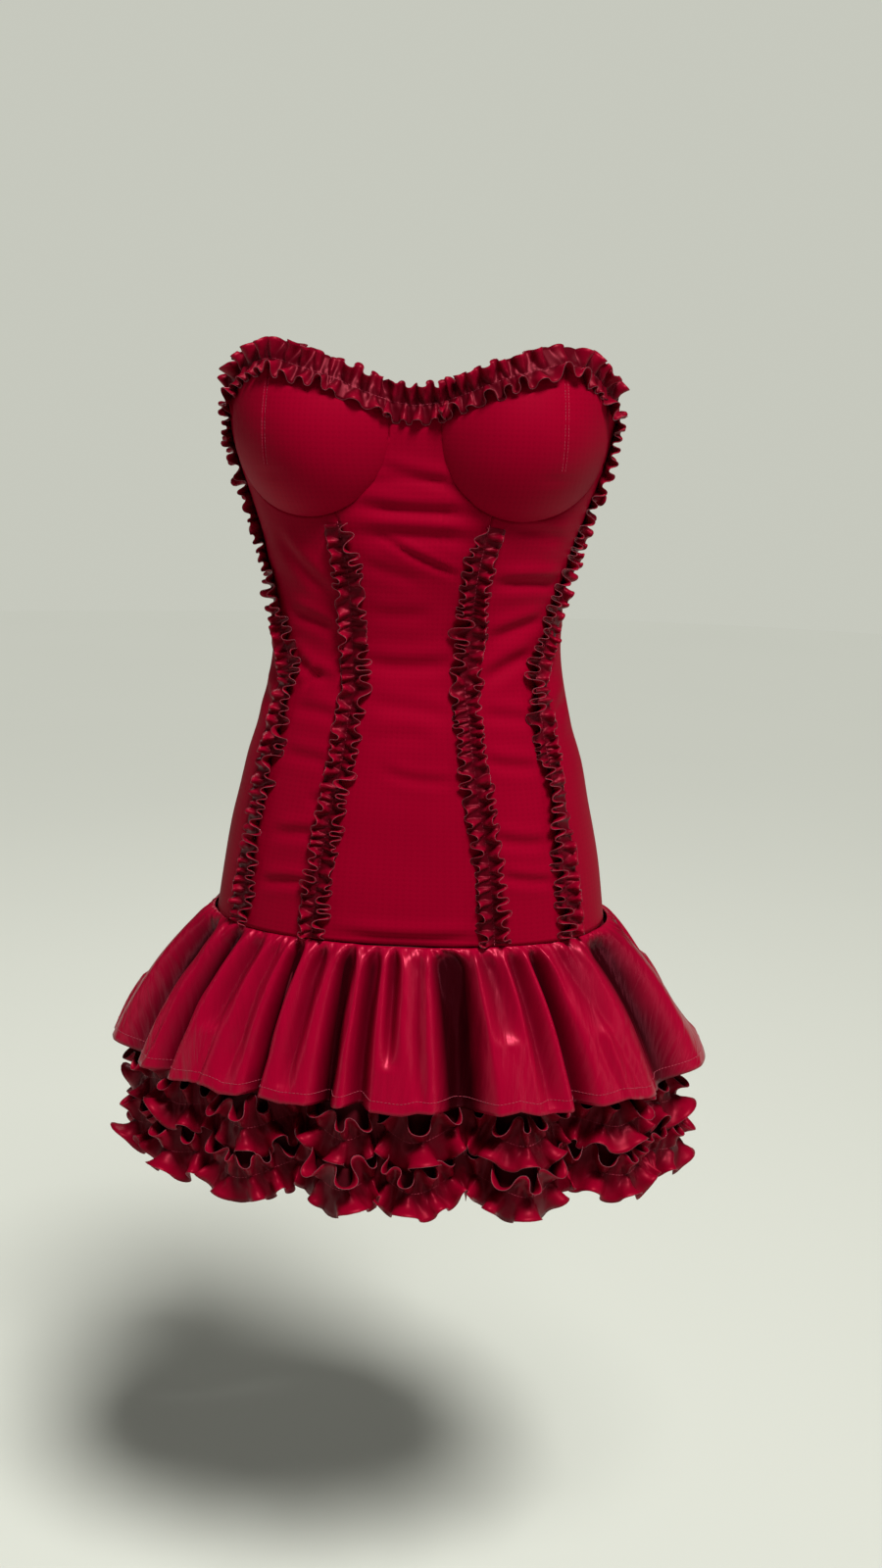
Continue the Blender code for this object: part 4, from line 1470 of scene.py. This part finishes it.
def ruffle_grid(surface, path_u, path_z, half_width, wave, strength, lean, clearance, seed,
                lean_change=24, rows=6, steps=16, sway=0.0, form=ROUND_WAVE):
    """A strip gathered along its middle: both edges wander in uneven standing waves.

    lean is how steeply a half strip stands off the surface, in degrees, and lean_change
    how far that differs from wave to wave. sway is the part of a wave, in radians, by
    which one half runs behind the other. The share of painted shade at each point, from 0
    to 1, most in the hollows of its waves and beside the stitching, is given back too.
    """
    chance = np.random.default_rng(seed)
    line = surface(path_u, path_z)
    far = length_along(line)
    length = far[-1]
    count = max(int(round(length / wave)), 2)
    w = np.arange(count * steps + 1) / steps
    v = np.linspace(0, 1, rows + 1)[:, None]
    halves, fold_shades = [], []
    share = np.exp(WAVE_LENGTH_SPREAD * chance.uniform(-1, 1, count))
    # Where the strip falls over to one side, one half lies low and the other stands up
    topple = chance.uniform(-1, 1, count + 1)
    pitch = np.interp(w, np.arange(count) + 0.5, share)
    run = np.concatenate(([0.0], np.cumsum((pitch[1:] + pitch[:-1]) / 2)))
    scale = length / run[-1]
    run, pitch = run * scale, pitch * scale * steps
    for hand in (1, -1):
        power = strength * (1 + SWING_SPREAD * chance.uniform(-1, 1, count + 1))
        tilt = hand * topple + LEAN_SPREAD * chance.uniform(-1, 1, count + 1)
        leaning = lean + tilt * lean_change
        later = chance.uniform(-1, 1, count + 1) * EDGE_DRIFT
        wide = half_width * (1 + WIDTH_SPREAD * chance.uniform(-1, 1, count + 1))
        bulge = chance.uniform(-1, 1, count + 1)
        power, leaning, wide, bulge, later = [
            carried_along(values, w, steps) for values in (power, leaning, wide, bulge, later)
        ]
        phase = 2 * np.pi * w[None, :] + later[None, :] * v + (sway if hand < 0 else 0.0)
        ahead, out = form.at(phase, power[None, :] * v**SWING_GROWTH)
        radian = pitch / (2 * np.pi)
        ahead, out = ahead * radian, out * radian
        slope = np.radians(leaning)[None, :] * np.clip(LEAN_AT_STITCHING + LEAN_GAIN * v, 0, 1)
        slope = slope + BULGE * bulge[None, :] * np.sin(np.pi * v)
        middle = (slope[1:] + slope[:-1]) / 2
        zero = np.zeros((1, len(w)))
        flat = np.concatenate((zero, np.cumsum(np.cos(middle), axis=0))) * wide / rows
        stand = np.concatenate((zero, np.cumsum(np.sin(middle), axis=0))) * wide / rows
        pinch = wave * swell_at(v, *PINCH) * np.sin(2 * phase + 0.7)
        reach = flat - out * np.sin(slope)
        height = stand + out * np.cos(slope) + pinch
        height = (height + np.sqrt(height * height + REST_SOFTNESS)) / 2 * np.minimum(v * 8, 1)
        place = run[None, :] + ahead
        place = np.clip(place, 0, length)
        u, z = np.interp(place, far, path_u), np.interp(place, far, path_z)
        n, _, _ = outer_normal(surface, u, z, 1.0)
        before, after = [
            surface(np.interp(at, far, path_u), np.interp(at, far, path_z))
            for at in (
                np.clip(place - HEADING_STEP, 0, length),
                np.clip(place + HEADING_STEP, 0, length),
            )
        ]
        way = unit(np.cross(n, unit(after - before)))
        side_u, side_z = beside(surface, u, z, way, hand * reach)
        n_side, _, _ = outer_normal(surface, side_u, side_z, 1.0)
        points = surface(side_u, side_z) + unit(n_side + 0.6 * n) * (height + clearance)[..., None]
        halves.append(points)
        # Painted shade: the cloth is darker beside its stitching and in the low hollows of its waves
        hollow = 1 - np.clip(height / (LIT_HEIGHT * half_width), 0, 1)
        dark = SHADE_AT_STITCHING * (1 - v) ** 2 + SHADE_IN_HOLLOWS * hollow**1.6
        fold_shades.append(np.clip(dark, 0, 1))
    grid = np.concatenate((halves[0][::-1], halves[1][1:]))
    depth = np.concatenate((fold_shades[0][::-1], fold_shades[1][1:]))
    fabric = w * wave / max(form.advance_at(strength), 0.3)
    across = np.concatenate((v[::-1, 0], -v[1:, 0])) * half_width
    return grid, (fabric[None, :], across[:, None]), depth


def edge_lines(grid):
    """Both free edges of a ruffle, each with the way from the edge into the cloth."""
    return [
        (grid[0], unit(grid[1] - grid[0])),
        (grid[-1], unit(grid[-2] - grid[-1])),
    ]


def ruffle_piece(name, surface, path_u, path_z, half_width, wave, strength, lean, clearance,
                 seed, **more):
    """A ruffle with its overlocked edges and the gathering stitches down its middle."""
    grid, flat_places, depth = ruffle_grid(
        surface, path_u, path_z, half_width, wave, strength, lean, clearance, seed, **more
    )
    cloth = material("ruffle_crepe_satin", ruffle_satin, COLOURS)
    piece, cut = cloth_piece(
        name, grid, flat_places, cloth, "ruffle_cloth", SIZES.ruffle_wall, "gathered",
        offset=0.0, depth=depth,
    )
    thread = overlock(name + "_overlock", edge_lines(grid))
    middle = grid[len(grid) // 2]
    lift = middle - surface(*spread_evenly(surface, path_u, path_z, len(middle)))
    line = middle + unit(lift) * GATHERING_LIFT
    gathering = stitches(
        name + "_gathering", [with_tangents(line)], "ruffle_cloth", spacing=3.0, radius=0.3
    )
    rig.sheet(piece, with_pieces=[thread, gathering], **cut)


def spread_evenly(surface, path_u, path_z, count):
    """The path's places, spread evenly by length."""
    line = surface(path_u, path_z)
    far = length_along(line)
    even = np.linspace(0, far[-1], count)
    return np.interp(even, far, path_u), np.interp(even, far, path_z)


# Skirts


# From one fold over the back to the next: turns of the waves that make them uneven
WANDER_TURN = 2.4
WANDER_START = 0.7
RIDGE_TURN = 1.7
RIDGE_CHANGE = 0.35
# The underskirt's flutes stand out as this power of the share of the drop
FLUTE_GROWTH = 0.8


def back_folds(count, ridge, valley, wander):
    """Uneven folds over the back, between the two side seams."""
    span = 360 - 2 * SIDE_SEAM
    folds = []
    for k in range(count):
        astray = wander * math.sin(WANDER_TURN * k + WANDER_START)
        angle = SIDE_SEAM + span * (k + 0.5) / count + astray
        folds.append((angle, ridge * (1 + RIDGE_CHANGE * math.sin(RIDGE_TURN * k)), valley))
    return folds


class Folds:
    """Folds round a skirt: ridges, valleys, and where each angle lies in its fold."""

    def __init__(self, folds, start, end):
        self.start, self.end = start, end
        knots, heights = [start], [-folds[0][2]]
        for k, (angle, ridge, valley) in enumerate(folds):
            after = (angle + folds[k + 1][0]) / 2 if k + 1 < len(folds) else end
            knots += [angle, after]
            heights += [ridge, -valley]
        self.knots = np.array(knots, float)
        self.heights = np.array(heights, float)

    def place(self, angle):
        """The place counted in half folds: even in a valley, odd on a ridge."""
        return np.interp(angle, self.knots, np.arange(len(self.knots)))

    def height(self, place):
        """Fold height at a place."""
        k = np.clip(place.astype(int), 0, len(self.knots) - 2)
        t = place - k
        soft = 0.5 - 0.5 * np.cos(np.pi * t)
        rising = np.where(k % 2 == 0, soft, 1 - soft)
        low = np.where(k % 2 == 0, self.heights[k], self.heights[k + 1])
        high = np.where(k % 2 == 0, self.heights[k + 1], self.heights[k])
        return lerp(low, high, rising)

    def angle(self, place):
        return np.interp(place, np.arange(len(self.knots)), self.knots)


class Wall:
    """A flared skirt wall by its rings."""

    def __init__(self, rings):
        self.height, self.width, self.front, self.back = [Curve(rings, c) for c in (1, 2, 3, 4)]
        shares = np.linspace(0, 1.0, 401)
        self.shares, self.heights = shares, self.height(shares)

    def drop_at(self, z):
        return np.interp(-z, -self.heights, self.shares)

    def point(self, angle, drop, out, z=None):
        z = self.height(drop) if z is None else z
        return ring_point(
            angle, z, self.width(drop) + out, self.front(drop) + out, self.back(drop) + out,
            SKIRT_SQUARENESS,
        )


PEPLUM_WALL = Wall(PEPLUM_RINGS)
UNDERSKIRT_WALL = Wall(SKIRT_RINGS)
PARTS = {
    "front": (-SIDE_SEAM, SIDE_SEAM),
    "back": (SIDE_SEAM, 360 - SIDE_SEAM),
}
SKIRT_FOLDS = {
    "front": Folds(SKIRT_FLUTES, *PARTS["front"]),
    "back": Folds(
        back_folds(SKIRT_BACK_FLUTES, ridge=11, valley=10, wander=2.5), *PARTS["back"]
    ),
}
PEPLUM_FOLD_LINES = {
    "front": Folds(PEPLUM_FOLDS, *PARTS["front"]),
    "back": Folds(
        back_folds(PEPLUM_BACK_FOLDS, ridge=9, valley=8, wander=1.6), *PARTS["back"]
    ),
}


def underskirt(part):
    """A point on the underskirt, as a function of angle and height."""
    folds = SKIRT_FOLDS[part]

    def surface(angle, z):
        drop = UNDERSKIRT_WALL.drop_at(z)
        fold = folds.height(folds.place(angle)) * drop**FLUTE_GROWTH
        return UNDERSKIRT_WALL.point(angle, drop, fold, z)

    return surface


def hem_drop(part, angle):
    """How far the hem and the tiers hang lower on a flute, and higher in a valley."""
    folds = SKIRT_FOLDS[part]
    return -HEM_SWAG * folds.height(folds.place(angle))


def underskirt_piece(part):
    columns, rows = 210, 41
    start, end = PARTS[part]
    angle = np.linspace(start + PART_GAP, end - PART_GAP, columns + 1)[None, :]
    z = np.linspace(SKIRT_TOP_Z, UNDERSKIRT_HEM_Z, rows + 1)[:, None]
    angle, z = np.broadcast_arrays(angle, z)
    z = z + hem_drop(part, angle) * ease((SKIRT_TOP_Z - z) / SWAG_RUN)
    grid = underskirt(part)(angle, z)
    out, _, _ = outer_normal(underskirt(part), angle, z, 0.5)
    pucker = 0.0
    for line_z in (UPPER_TIER_Z, LOWER_TIER_Z):
        near = np.exp(-(((z - line_z) / PUCKER_REACH) ** 2))
        turn = angle * PUCKER_TURN + 2 * np.sin(angle / 7)
        pucker = pucker + near * PUCKER_HEIGHT * np.sin(turn)
    grid = grid + out * (np.minimum(pucker, PUCKER_LIMIT) - PUCKER_SINK)[..., None]
    cloth = material("underskirt_crepe", underskirt_crepe, COLOURS)
    piece, cut = cloth_piece(
        "underskirt_" + part, grid, (angle * UNDERSKIRT_MM_A_DEGREE, z), cloth, "underskirt_cloth",
        SIZES.skirt_wall, "hung",
    )
    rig.sheet(piece, **cut)


def peplum_lobes(folds, place, drop, chance):
    """Broad lobes with deep valleys between them, and hollows that end part of the way down.

    Each hollow starts at the seam between two tucks and ends in a round foot, where the
    lobe below it closes over it.
    """
    ridges = np.arange(1, len(folds.knots) - 1, 2)
    crest = np.interp(place, ridges, folds.heights[ridges])
    out = crest * (PEPLUM_SEAM_SHARE + (1 - PEPLUM_SEAM_SHARE) * drop**0.6)
    lobe_valleys = {}
    for angle, depth in PEPLUM_LOBE_VALLEYS:
        if folds.start < angle < folds.end:
            nearest_valley = int(np.argmin(np.abs(folds.knots[::2] - angle))) * 2
            lobe_valleys[nearest_valley] = depth
    for valley in range(0, len(folds.knots), 2):
        off = np.clip(np.abs(place - valley), 0, 1)
        run = chance.uniform(*HOLLOW_RUNS)
        hollow = chance.uniform(*HOLLOW_DEPTHS)
        sharp = chance.uniform(*HOLLOW_SHARPNESS)
        foot = np.sqrt(np.clip(1 - (drop / run) ** 3, 0, 1))
        depth = hollow * ease((drop + SEAM_OPENING) / 0.22) * foot
        if valley in lobe_valleys:
            hem_depth = lobe_valleys[valley]
            depth = np.maximum(depth, hem_depth * ease((drop + SEAM_OPENING) / 0.25))
        out = out - depth * np.cos(np.pi / 2 * off) ** (2 * sharp)
    # The second value, how far a point lies below its crest, sets the painted shade in the folds
    return out, np.clip((crest - out - 4) / 20, 0, 1)


def peplum_gathers(girth, drop, start, end, chance):
    """Tucks that start at the hip seam: each runs down a way, widens and dies out."""
    relief = np.zeros(girth.shape)
    count = int((end - start) / SIZES.peplum_gather)
    for k in range(count):
        middle = lerp(start, end, (k + 0.5 + 0.4 * chance.uniform(-1, 1)) / count)
        width = chance.uniform(*TUCK_WIDTHS)
        height = chance.uniform(*TUCK_HEIGHTS)
        run = chance.uniform(*TUCK_RUNS)
        slant = chance.uniform(*TUCK_SLANTS)
        off = (girth - middle - slant * drop) / (width * (1 + TUCK_WIDENING * drop))
        fade = ease(drop / 0.045) * (1 - ease(drop / run))
        relief = relief + height * fade * (np.exp(-off * off) - 0.55 * np.exp(-((off - 1.8) ** 2)))
    return relief


def peplum_creases(girth, drop, start, end, chance):
    """Long shallow creases that run down the folds, and a few soft dents across them."""
    relief = np.zeros(girth.shape)
    for _ in range(CREASES):
        middle = chance.uniform(start, end)
        low, tall = chance.uniform(0.15, 0.95), chance.uniform(0.12, 0.4)
        width, depth = chance.uniform(2.6, 6.5), chance.uniform(-3.4, 2.4)
        lean, bow = chance.uniform(-22, 22), chance.uniform(-14, 14)
        down = drop - low
        off = (girth - middle - lean * down - bow * down * down / tall) / width
        relief = relief + depth * np.exp(-off * off - (down / tall) ** 2)
    for _ in range(DENTS):
        middle = chance.uniform(start, end)
        low = chance.uniform(0.35, 0.9)
        width, depth = chance.uniform(12, 24), chance.uniform(-3.2, 1.5)
        off = (girth - middle) / width
        relief = relief + depth * np.exp(-off * off - ((drop - low) / 0.11) ** 2)
    return relief


def clear_of_underskirt(part, grid, angle, drop):
    """The same points, moved out where they would sink into the underskirt."""
    under = np.hypot(*np.moveaxis(underskirt(part)(angle, grid[..., 2])[..., :2], -1, 0))
    reach = np.hypot(grid[..., 0], grid[..., 1])
    below_seam = ease(drop / 0.08)
    least = under + PEPLUM_CLEARANCE * below_seam
    over = reach - least
    soft = 1.6 * below_seam + 0.01
    moved = least + (over + np.sqrt(over * over + soft * soft)) / 2
    share = moved / reach
    grid[..., 0] *= share
    grid[..., 1] *= share
    return grid


def peplum_grid(part, columns=490, rows=48):
    """The satin flounce: gathered into the hip seam, and opening into uneven folds."""
    folds = PEPLUM_FOLD_LINES[part]
    chance = np.random.default_rng(11 if part == "front" else 12)
    start, end = PARTS[part]
    angle = np.linspace(start + PART_GAP, end - PART_GAP, columns + 1)[None, :]
    drop = (np.linspace(0, 1, rows + 1) ** 1.1)[:, None]
    angle, drop = np.broadcast_arrays(angle, drop)
    count = len(folds.knots)
    at = np.arange(count)
    inside = ease((angle - start) / SEAM_FADE) * ease((end - angle) / SEAM_FADE)
    drift, sway = [
        np.convolve(chance.uniform(-1, 1, count + 2), (0.25, 0.5, 0.25), mode="valid")
        for _ in range(2)
    ]
    place = folds.place(angle)
    wander = FOLD_DRIFT * np.interp(place, at, drift) * drop
    wander = wander + FOLD_SWAY * np.interp(place, at, sway) * np.sin(np.pi * drop)
    place = np.clip(place - wander * inside, 0, count - 1)
    fold, depth = peplum_lobes(folds, place, drop, chance)
    # A ridge is a little wider than the valley beside it
    over = -RIDGE_WIDENING * np.sin(np.pi * place) * drop**0.9 * inside
    shifted = folds.angle(np.clip(place + over, 0, count - 1))
    girth = angle * SEAM_MM_A_DEGREE
    ends = (start * SEAM_MM_A_DEGREE, end * SEAM_MM_A_DEGREE)
    relief = peplum_gathers(girth, drop, *ends, chance) + peplum_creases(girth, drop, *ends, chance)
    relief = relief - SEAM_SINK * ease(drop / 0.05) * (1 - ease(drop / 0.4))
    # Both parts have the same fold at the side seam, so that they meet there
    out = lerp(-PEPLUM_SIDE_FOLD * ease(drop / 0.3), fold + relief, inside)
    grid = clear_of_underskirt(part, PEPLUM_WALL.point(shifted, drop, out), shifted, drop)
    swags = np.interp(place, at, chance.uniform(-1, 1, count))
    grid[..., 2] += (PEPLUM_HEM_WANDER * swags * inside + PEPLUM_HEM_RISE * out) * drop**2
    flat_places = (girth * (1 + PEPLUM_MAP_FLARE * drop), -drop * PEPLUM_MAP_LENGTH)
    # The last value sets the painted shade in the folds, fading out at the seam
    return grid, flat_places, depth * ease(drop / 0.1)


def peplum_piece(part):
    grid, flat_places, depth = peplum_grid(part)
    cloth = material("polyester_satin", peplum_satin, COLOURS)
    piece, cut = cloth_piece(
        "peplum_" + part, grid, flat_places, cloth, "satin", SIZES.skirt_wall, "hung",
        depth=depth,
    )
    # The hem is stitched three rows of the grid above its edge
    row = -4
    out = unit(np.cross(np.gradient(grid, axis=1), -np.gradient(grid, axis=0)))[row]
    thread = stitches(
        "peplum_%s_hem_stitches" % part, [with_tangents(grid[row] + out * 0.2)], "satin",
        spacing=3.4, radius=0.22,
    )
    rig.sheet(piece, with_pieces=[thread], **cut)


# Zip


def zip_line(count=120):
    """The middle of the zip, down the centre back."""
    z = np.linspace(TOP_EDGE(180.0) - ZIP_TOP_DROP, HIP_SEAM_Z, count)
    y = BODY_BACK(z) - ZIP_SET_BACK
    return np.stack((np.zeros(count), y, z), -1)


def zip_piece():
    """The woven tape, and the coil that closes it."""
    line = zip_line()
    aside, out = np.array(ZIP_TAPE_PROFILE).T
    grid = line[:, None, :] + np.zeros((1, len(aside), 3))
    grid[..., 0] += aside[None, :]
    grid[..., 1] += ZIP_TAPE_OUT + out[None, :]
    mesh = cloth_mesh("zip_tape", grid, (aside[None, :], line[:, 2][:, None]))
    mesh.materials.append(material("underskirt_crepe", underskirt_crepe, COLOURS))
    tape = add_piece("zip_tape", mesh, "zip", replaces=("zip_chain",))
    thicken(tape, ZIP_TAPE_WALL, -1.0)
    coil = []
    for hand in (-1, 1):
        middle = line + np.array((hand * COIL_ASIDE, COIL_OUT, 0.0))
        way = np.tile(np.array((1.0, 0.0, COIL_SLANT * hand)), (len(line), 1))
        coil.append((middle, way))
    nylon = material("dyed_nylon_coil", zip_nylon, COLOURS)
    sizes = {
        "Stitch spacing": SIZES.tooth_spacing,
        "Thread radius": 0.36,
        "Stitch length": 1.6,
    }
    grown("zip_coil", coil, "straight stitches", stitch_tree, sizes, nylon, "zip")


# Stage

CAMERA_AZIMUTH = 3.3
CAMERA_PITCH = 13.0
CAMERA_ROLL = 1.4
CAMERA_DISTANCE = 1.420
CAMERA_HEIGHT = 0.19
CAMERA_SHIFT = 28 / 1600
FLOOR_Z = -1.05
# Size of a cloud in the floor's paint, in mm
FLOOR_CLOUD = 1000 / 1.2

# Soft lights: place in metres, width and height in metres, power in watts
LIGHTS = (
    ("key", (0.45, -1.3, 1.85), 0.8, 0.4, 24),
    ("left_strip", (-1.8, -0.7, 0.2), 0.3, 1.6, 3),
    ("right_strip", (1.8, -0.9, 0.3), 0.3, 1.6, 5),
    ("back", (-0.5, 1.9, 1.6), 1.2, 0.8, 14),
)
LIGHTS_AIM = (0, 0, -0.1)
SKYLIGHT_FROM = (0.3, -0.52, 1.0)
SKYLIGHT_SPREAD = 16
SKYLIGHT_STRENGTH = 3.3
WORLD_FILL = 0.06


def look_at(obj, target):
    obj.rotation_mode = "QUATERNION"
    way = Vector(target) - obj.location
    obj.rotation_quaternion = way.to_track_quat("-Z", "Y")


def make_camera():
    azimuth, pitch, roll = (
        math.radians(a) for a in (CAMERA_AZIMUTH, CAMERA_PITCH, CAMERA_ROLL)
    )
    back = Vector(
        (
            math.sin(azimuth) * math.cos(pitch),
            -math.cos(azimuth) * math.cos(pitch),
            math.sin(pitch),
        )
    )
    right = (-back).cross(Vector((0, 0, 1))).normalized()
    up = right.cross(-back)
    turned_right = right * math.cos(roll) + up * math.sin(roll)
    turned_up = up * math.cos(roll) - right * math.sin(roll)
    data = bpy.data.cameras.new("camera")
    data.sensor_width = 36
    data.lens = 36
    data.shift_x = CAMERA_SHIFT
    data.dof.use_dof = False
    camera = bpy.data.objects.new("camera", data)
    bpy.context.scene.collection.objects.link(camera)
    place = Vector(
        (
            CAMERA_DISTANCE * math.sin(azimuth),
            -CAMERA_DISTANCE * math.cos(azimuth),
            CAMERA_HEIGHT,
        )
    )
    axes = Matrix((turned_right, turned_up, back)).transposed()
    camera.matrix_world = Matrix.Translation(place) @ axes.to_4x4()
    bpy.context.scene.camera = camera


def make_lights():
    for name, place, width, height, power in LIGHTS:
        data = bpy.data.lights.new(name, "AREA")
        data.shape = "RECTANGLE"
        data.size = width
        data.size_y = height
        data.energy = power
        light = bpy.data.objects.new(name, data)
        light.location = place
        bpy.context.scene.collection.objects.link(light)
        look_at(light, LIGHTS_AIM)


def make_skylight():
    """An even light from above and in front, so wide that its shadows are soft."""
    data = bpy.data.lights.new("skylight", "SUN")
    data.angle = math.radians(SKYLIGHT_SPREAD)
    data.energy = SKYLIGHT_STRENGTH
    light = bpy.data.objects.new("skylight", data)
    light.location = SKYLIGHT_FROM
    bpy.context.scene.collection.objects.link(light)
    look_at(light, (0, 0, 0))


def make_floor():
    mesh = bpy.data.meshes.new("floor")
    count, reach = 64, 9.0
    rim = [
        (reach * math.cos(a), reach * math.sin(a), FLOOR_Z)
        for a in np.linspace(0, 2 * np.pi, count, endpoint=False)
    ]
    mesh.from_pydata(rim, [], [list(range(count))])
    floor = bpy.data.objects.new("floor", mesh)
    bpy.context.scene.collection.objects.link(floor)
    # Painted boards: matte, with a faint cloud in the paint
    paint, tree, shader = new_material(
        "matte_floor_paint", {"Roughness": 1.0, "Specular IOR Level": 0.0, "IOR": 1.0}
    )
    tone, _ = patchy(tree, tuple(COLOURS.floor), FLOOR_CLOUD, 0.99, 1.01)
    tree.links.new(tone, shader.inputs["Base Color"])
    mesh.materials.append(paint)
    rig.stage(floor)


def make_world():
    """A pale surround that lights the shadows weakly."""
    world = bpy.data.worlds.new("pale surround")
    world.use_nodes = True
    tree = world.node_tree
    tree.nodes.clear()
    # As bright as the far floor, so that the two meet without a line
    from_above = SKYLIGHT_FROM[2] / math.sqrt(sum(part * part for part in SKYLIGHT_FROM))
    far_floor = SKYLIGHT_STRENGTH * from_above / math.pi + WORLD_FILL
    seen = add_node(tree, "ShaderNodeBackground", {0: tuple(COLOURS.floor), 1: far_floor})
    fill = add_node(tree, "ShaderNodeBackground", {0: tuple(COLOURS.floor), 1: WORLD_FILL})
    path = add_node(tree, "ShaderNodeLightPath")
    mix = add_node(
        tree,
        "ShaderNodeMixShader",
        {0: path.outputs["Is Camera Ray"], 1: fill.outputs[0], 2: seen.outputs[0]},
    )
    add_node(tree, "ShaderNodeOutputWorld", {0: mix.outputs[0]})
    bpy.context.scene.world = world
    bpy.context.scene.view_settings.view_transform = "Standard"


# Operators


class MINIDRESS_OT_stage(bpy.types.Operator):
    """Make the floor, the soft lights and the camera"""

    bl_idname = "minidress.stage"
    bl_label = "Stage"

    def execute(self, context):
        make_world()
        make_floor()
        make_lights()
        make_skylight()
        make_camera()
        return {"FINISHED"}


class MINIDRESS_OT_bodice(bpy.types.Operator):
    """Make the bodice panels and the cups, with their drag lines and dart stitches"""

    bl_idname = "minidress.bodice"
    bl_label = "Bodice"

    def execute(self, context):
        piece, cut = bodice_piece("front_center", *center_panel())
        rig.sheet(piece, **cut)
        for letter, side in (("L", -1), ("R", 1)):
            for name, panel in (
                ("front_side_", front_side_panel), ("side_", side_panel), ("back_", back_panel),
            ):
                piece, cut = bodice_piece(name + letter, *panel(side))
                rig.sheet(piece, **cut)
            piece, cut = cup("cup_" + letter, side)
            dart = stitches(
                "cup_%s_dart_stitches" % letter, dart_line(side), "stretch_cloth",
                spacing=2.6, radius=0.16,
            )
            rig.sheet(piece, with_pieces=[dart], **cut)
        return {"FINISHED"}


class MINIDRESS_OT_ruffles(bpy.types.Operator):
    """Make the neckline ruffle and the four strips down the front seams"""

    bl_idname = "minidress.ruffles"
    bl_label = "Ruffles"

    def execute(self, context):
        angle = np.linspace(-NECKLINE_RUFFLE_END, NECKLINE_RUFFLE_END, 400)
        ruffle_piece(
            "neckline_ruffle", bodice, angle, TOP_EDGE(np.abs(angle)) - NECKLINE_RUFFLE_DROP,
            SIZES.neckline_half_width, SIZES.strip_wave * NECKLINE_WAVE_SHARE,
            strength=1.5, lean=34, clearance=0.3, seed=1, lean_change=36, sway=2.2,
        )
        for letter, side, seed in (("L", -1, 20), ("R", 1, 30)):
            for name, seam, top, more in (
                ("inner_strip_", INNER_SEAM, INNER_STRIP_TOP, 1),
                ("outer_strip_", OUTER_STRIP, OUTER_STRIP_TOP, 2),
            ):
                z = np.linspace(top, HIP_SEAM_Z + STRIP_END_RISE, 400)
                ruffle_piece(
                    name + letter, bodice, side * seam(z), z, SIZES.strip_half_width,
                    SIZES.strip_wave, strength=1.4, lean=40, clearance=0.1, seed=seed + more,
                    lean_change=44, sway=2.4, form=CREASED_WAVE,
                )
        return {"FINISHED"}


class MINIDRESS_OT_peplum(bpy.types.Operator):
    """Make the front and back of the satin peplum, with its stitched hem"""

    bl_idname = "minidress.peplum"
    bl_label = "Peplum"

    def execute(self, context):
        for part in PARTS:
            peplum_piece(part)
        return {"FINISHED"}


class MINIDRESS_OT_underskirt(bpy.types.Operator):
    """Make the underskirt's front and back, and the two ruffle tiers on each"""

    bl_idname = "minidress.underskirt"
    bl_label = "Underskirt and tiers"

    def execute(self, context):
        seed = 40
        for part, (start, end) in PARTS.items():
            underskirt_piece(part)
            angle = np.linspace(start + TIER_END_GAP, end - TIER_END_GAP, 600)
            for name, z in (("upper_tier_", UPPER_TIER_Z), ("lower_tier_", LOWER_TIER_Z)):
                seed += 1
                ruffle_piece(
                    name + part, underskirt(part), angle, z + hem_drop(part, angle),
                    SIZES.tier_half_width, SIZES.tier_wave, strength=1.5, lean=44,
                    clearance=0.3, seed=seed, lean_change=26, steps=20,
                )
        return {"FINISHED"}


class MINIDRESS_OT_zip(bpy.types.Operator):
    """Make the zip's tape and coil, and enamel its slider and pull tab"""

    bl_idname = "minidress.zip"
    bl_label = "Zip"

    def execute(self, context):
        zip_piece()
        enamel = material("enamelled_zinc", enamelled_zinc, COLOURS)
        for name in ("zip_slider", "zip_pull"):
            node = frame["nodes"][name]
            if not node.material_slots:
                node.data.materials.append(enamel)
            for slot in node.material_slots:
                slot.material = enamel
            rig.slot(node, "zip_metal")
        return {"FINISHED"}


OPERATORS = (
    MINIDRESS_OT_stage,
    MINIDRESS_OT_bodice,
    MINIDRESS_OT_ruffles,
    MINIDRESS_OT_peplum,
    MINIDRESS_OT_underskirt,
    MINIDRESS_OT_zip,
)


class MINIDRESS_PT_panel(bpy.types.Panel):
    """Lists the dress's sizes, colours and pieces."""

    bl_label = "Mini dress"
    bl_idname = "MINIDRESS_PT_panel"
    bl_space_type = "VIEW_3D"
    bl_region_type = "UI"
    bl_category = "Dress"

    def draw(self, context):
        for group in (context.scene.dress_sizes, context.scene.dress_colours):
            box = self.layout.box()
            for name in group.__annotations__:
                box.prop(group, name)
        for operator in OPERATORS:
            self.layout.operator(operator.bl_idname)


CLASSES = (DressSizes, DressColours, *OPERATORS, MINIDRESS_PT_panel)


def register():
    for cls in CLASSES:
        bpy.utils.register_class(cls)
    bpy.types.Scene.dress_sizes = bpy.props.PointerProperty(type=DressSizes)
    bpy.types.Scene.dress_colours = bpy.props.PointerProperty(type=DressColours)


def unregister():
    del bpy.types.Scene.dress_colours
    del bpy.types.Scene.dress_sizes
    for cls in reversed(CLASSES):
        bpy.utils.unregister_class(cls)


def main():
    global SIZES, COLOURS
    register()
    SIZES = bpy.context.scene.dress_sizes
    COLOURS = bpy.context.scene.dress_colours
    bpy.ops.minidress.stage()
    bpy.ops.minidress.bodice()
    bpy.ops.minidress.ruffles()
    bpy.ops.minidress.peplum()
    bpy.ops.minidress.underskirt()
    bpy.ops.minidress.zip()
    dressed_box = [list(corner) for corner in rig.bounds()]
    with open("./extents.json", "w") as f:
        json.dump({"cad": CAD_BOX, "visual": dressed_box}, f)


if __name__ == "__main__":
    main()
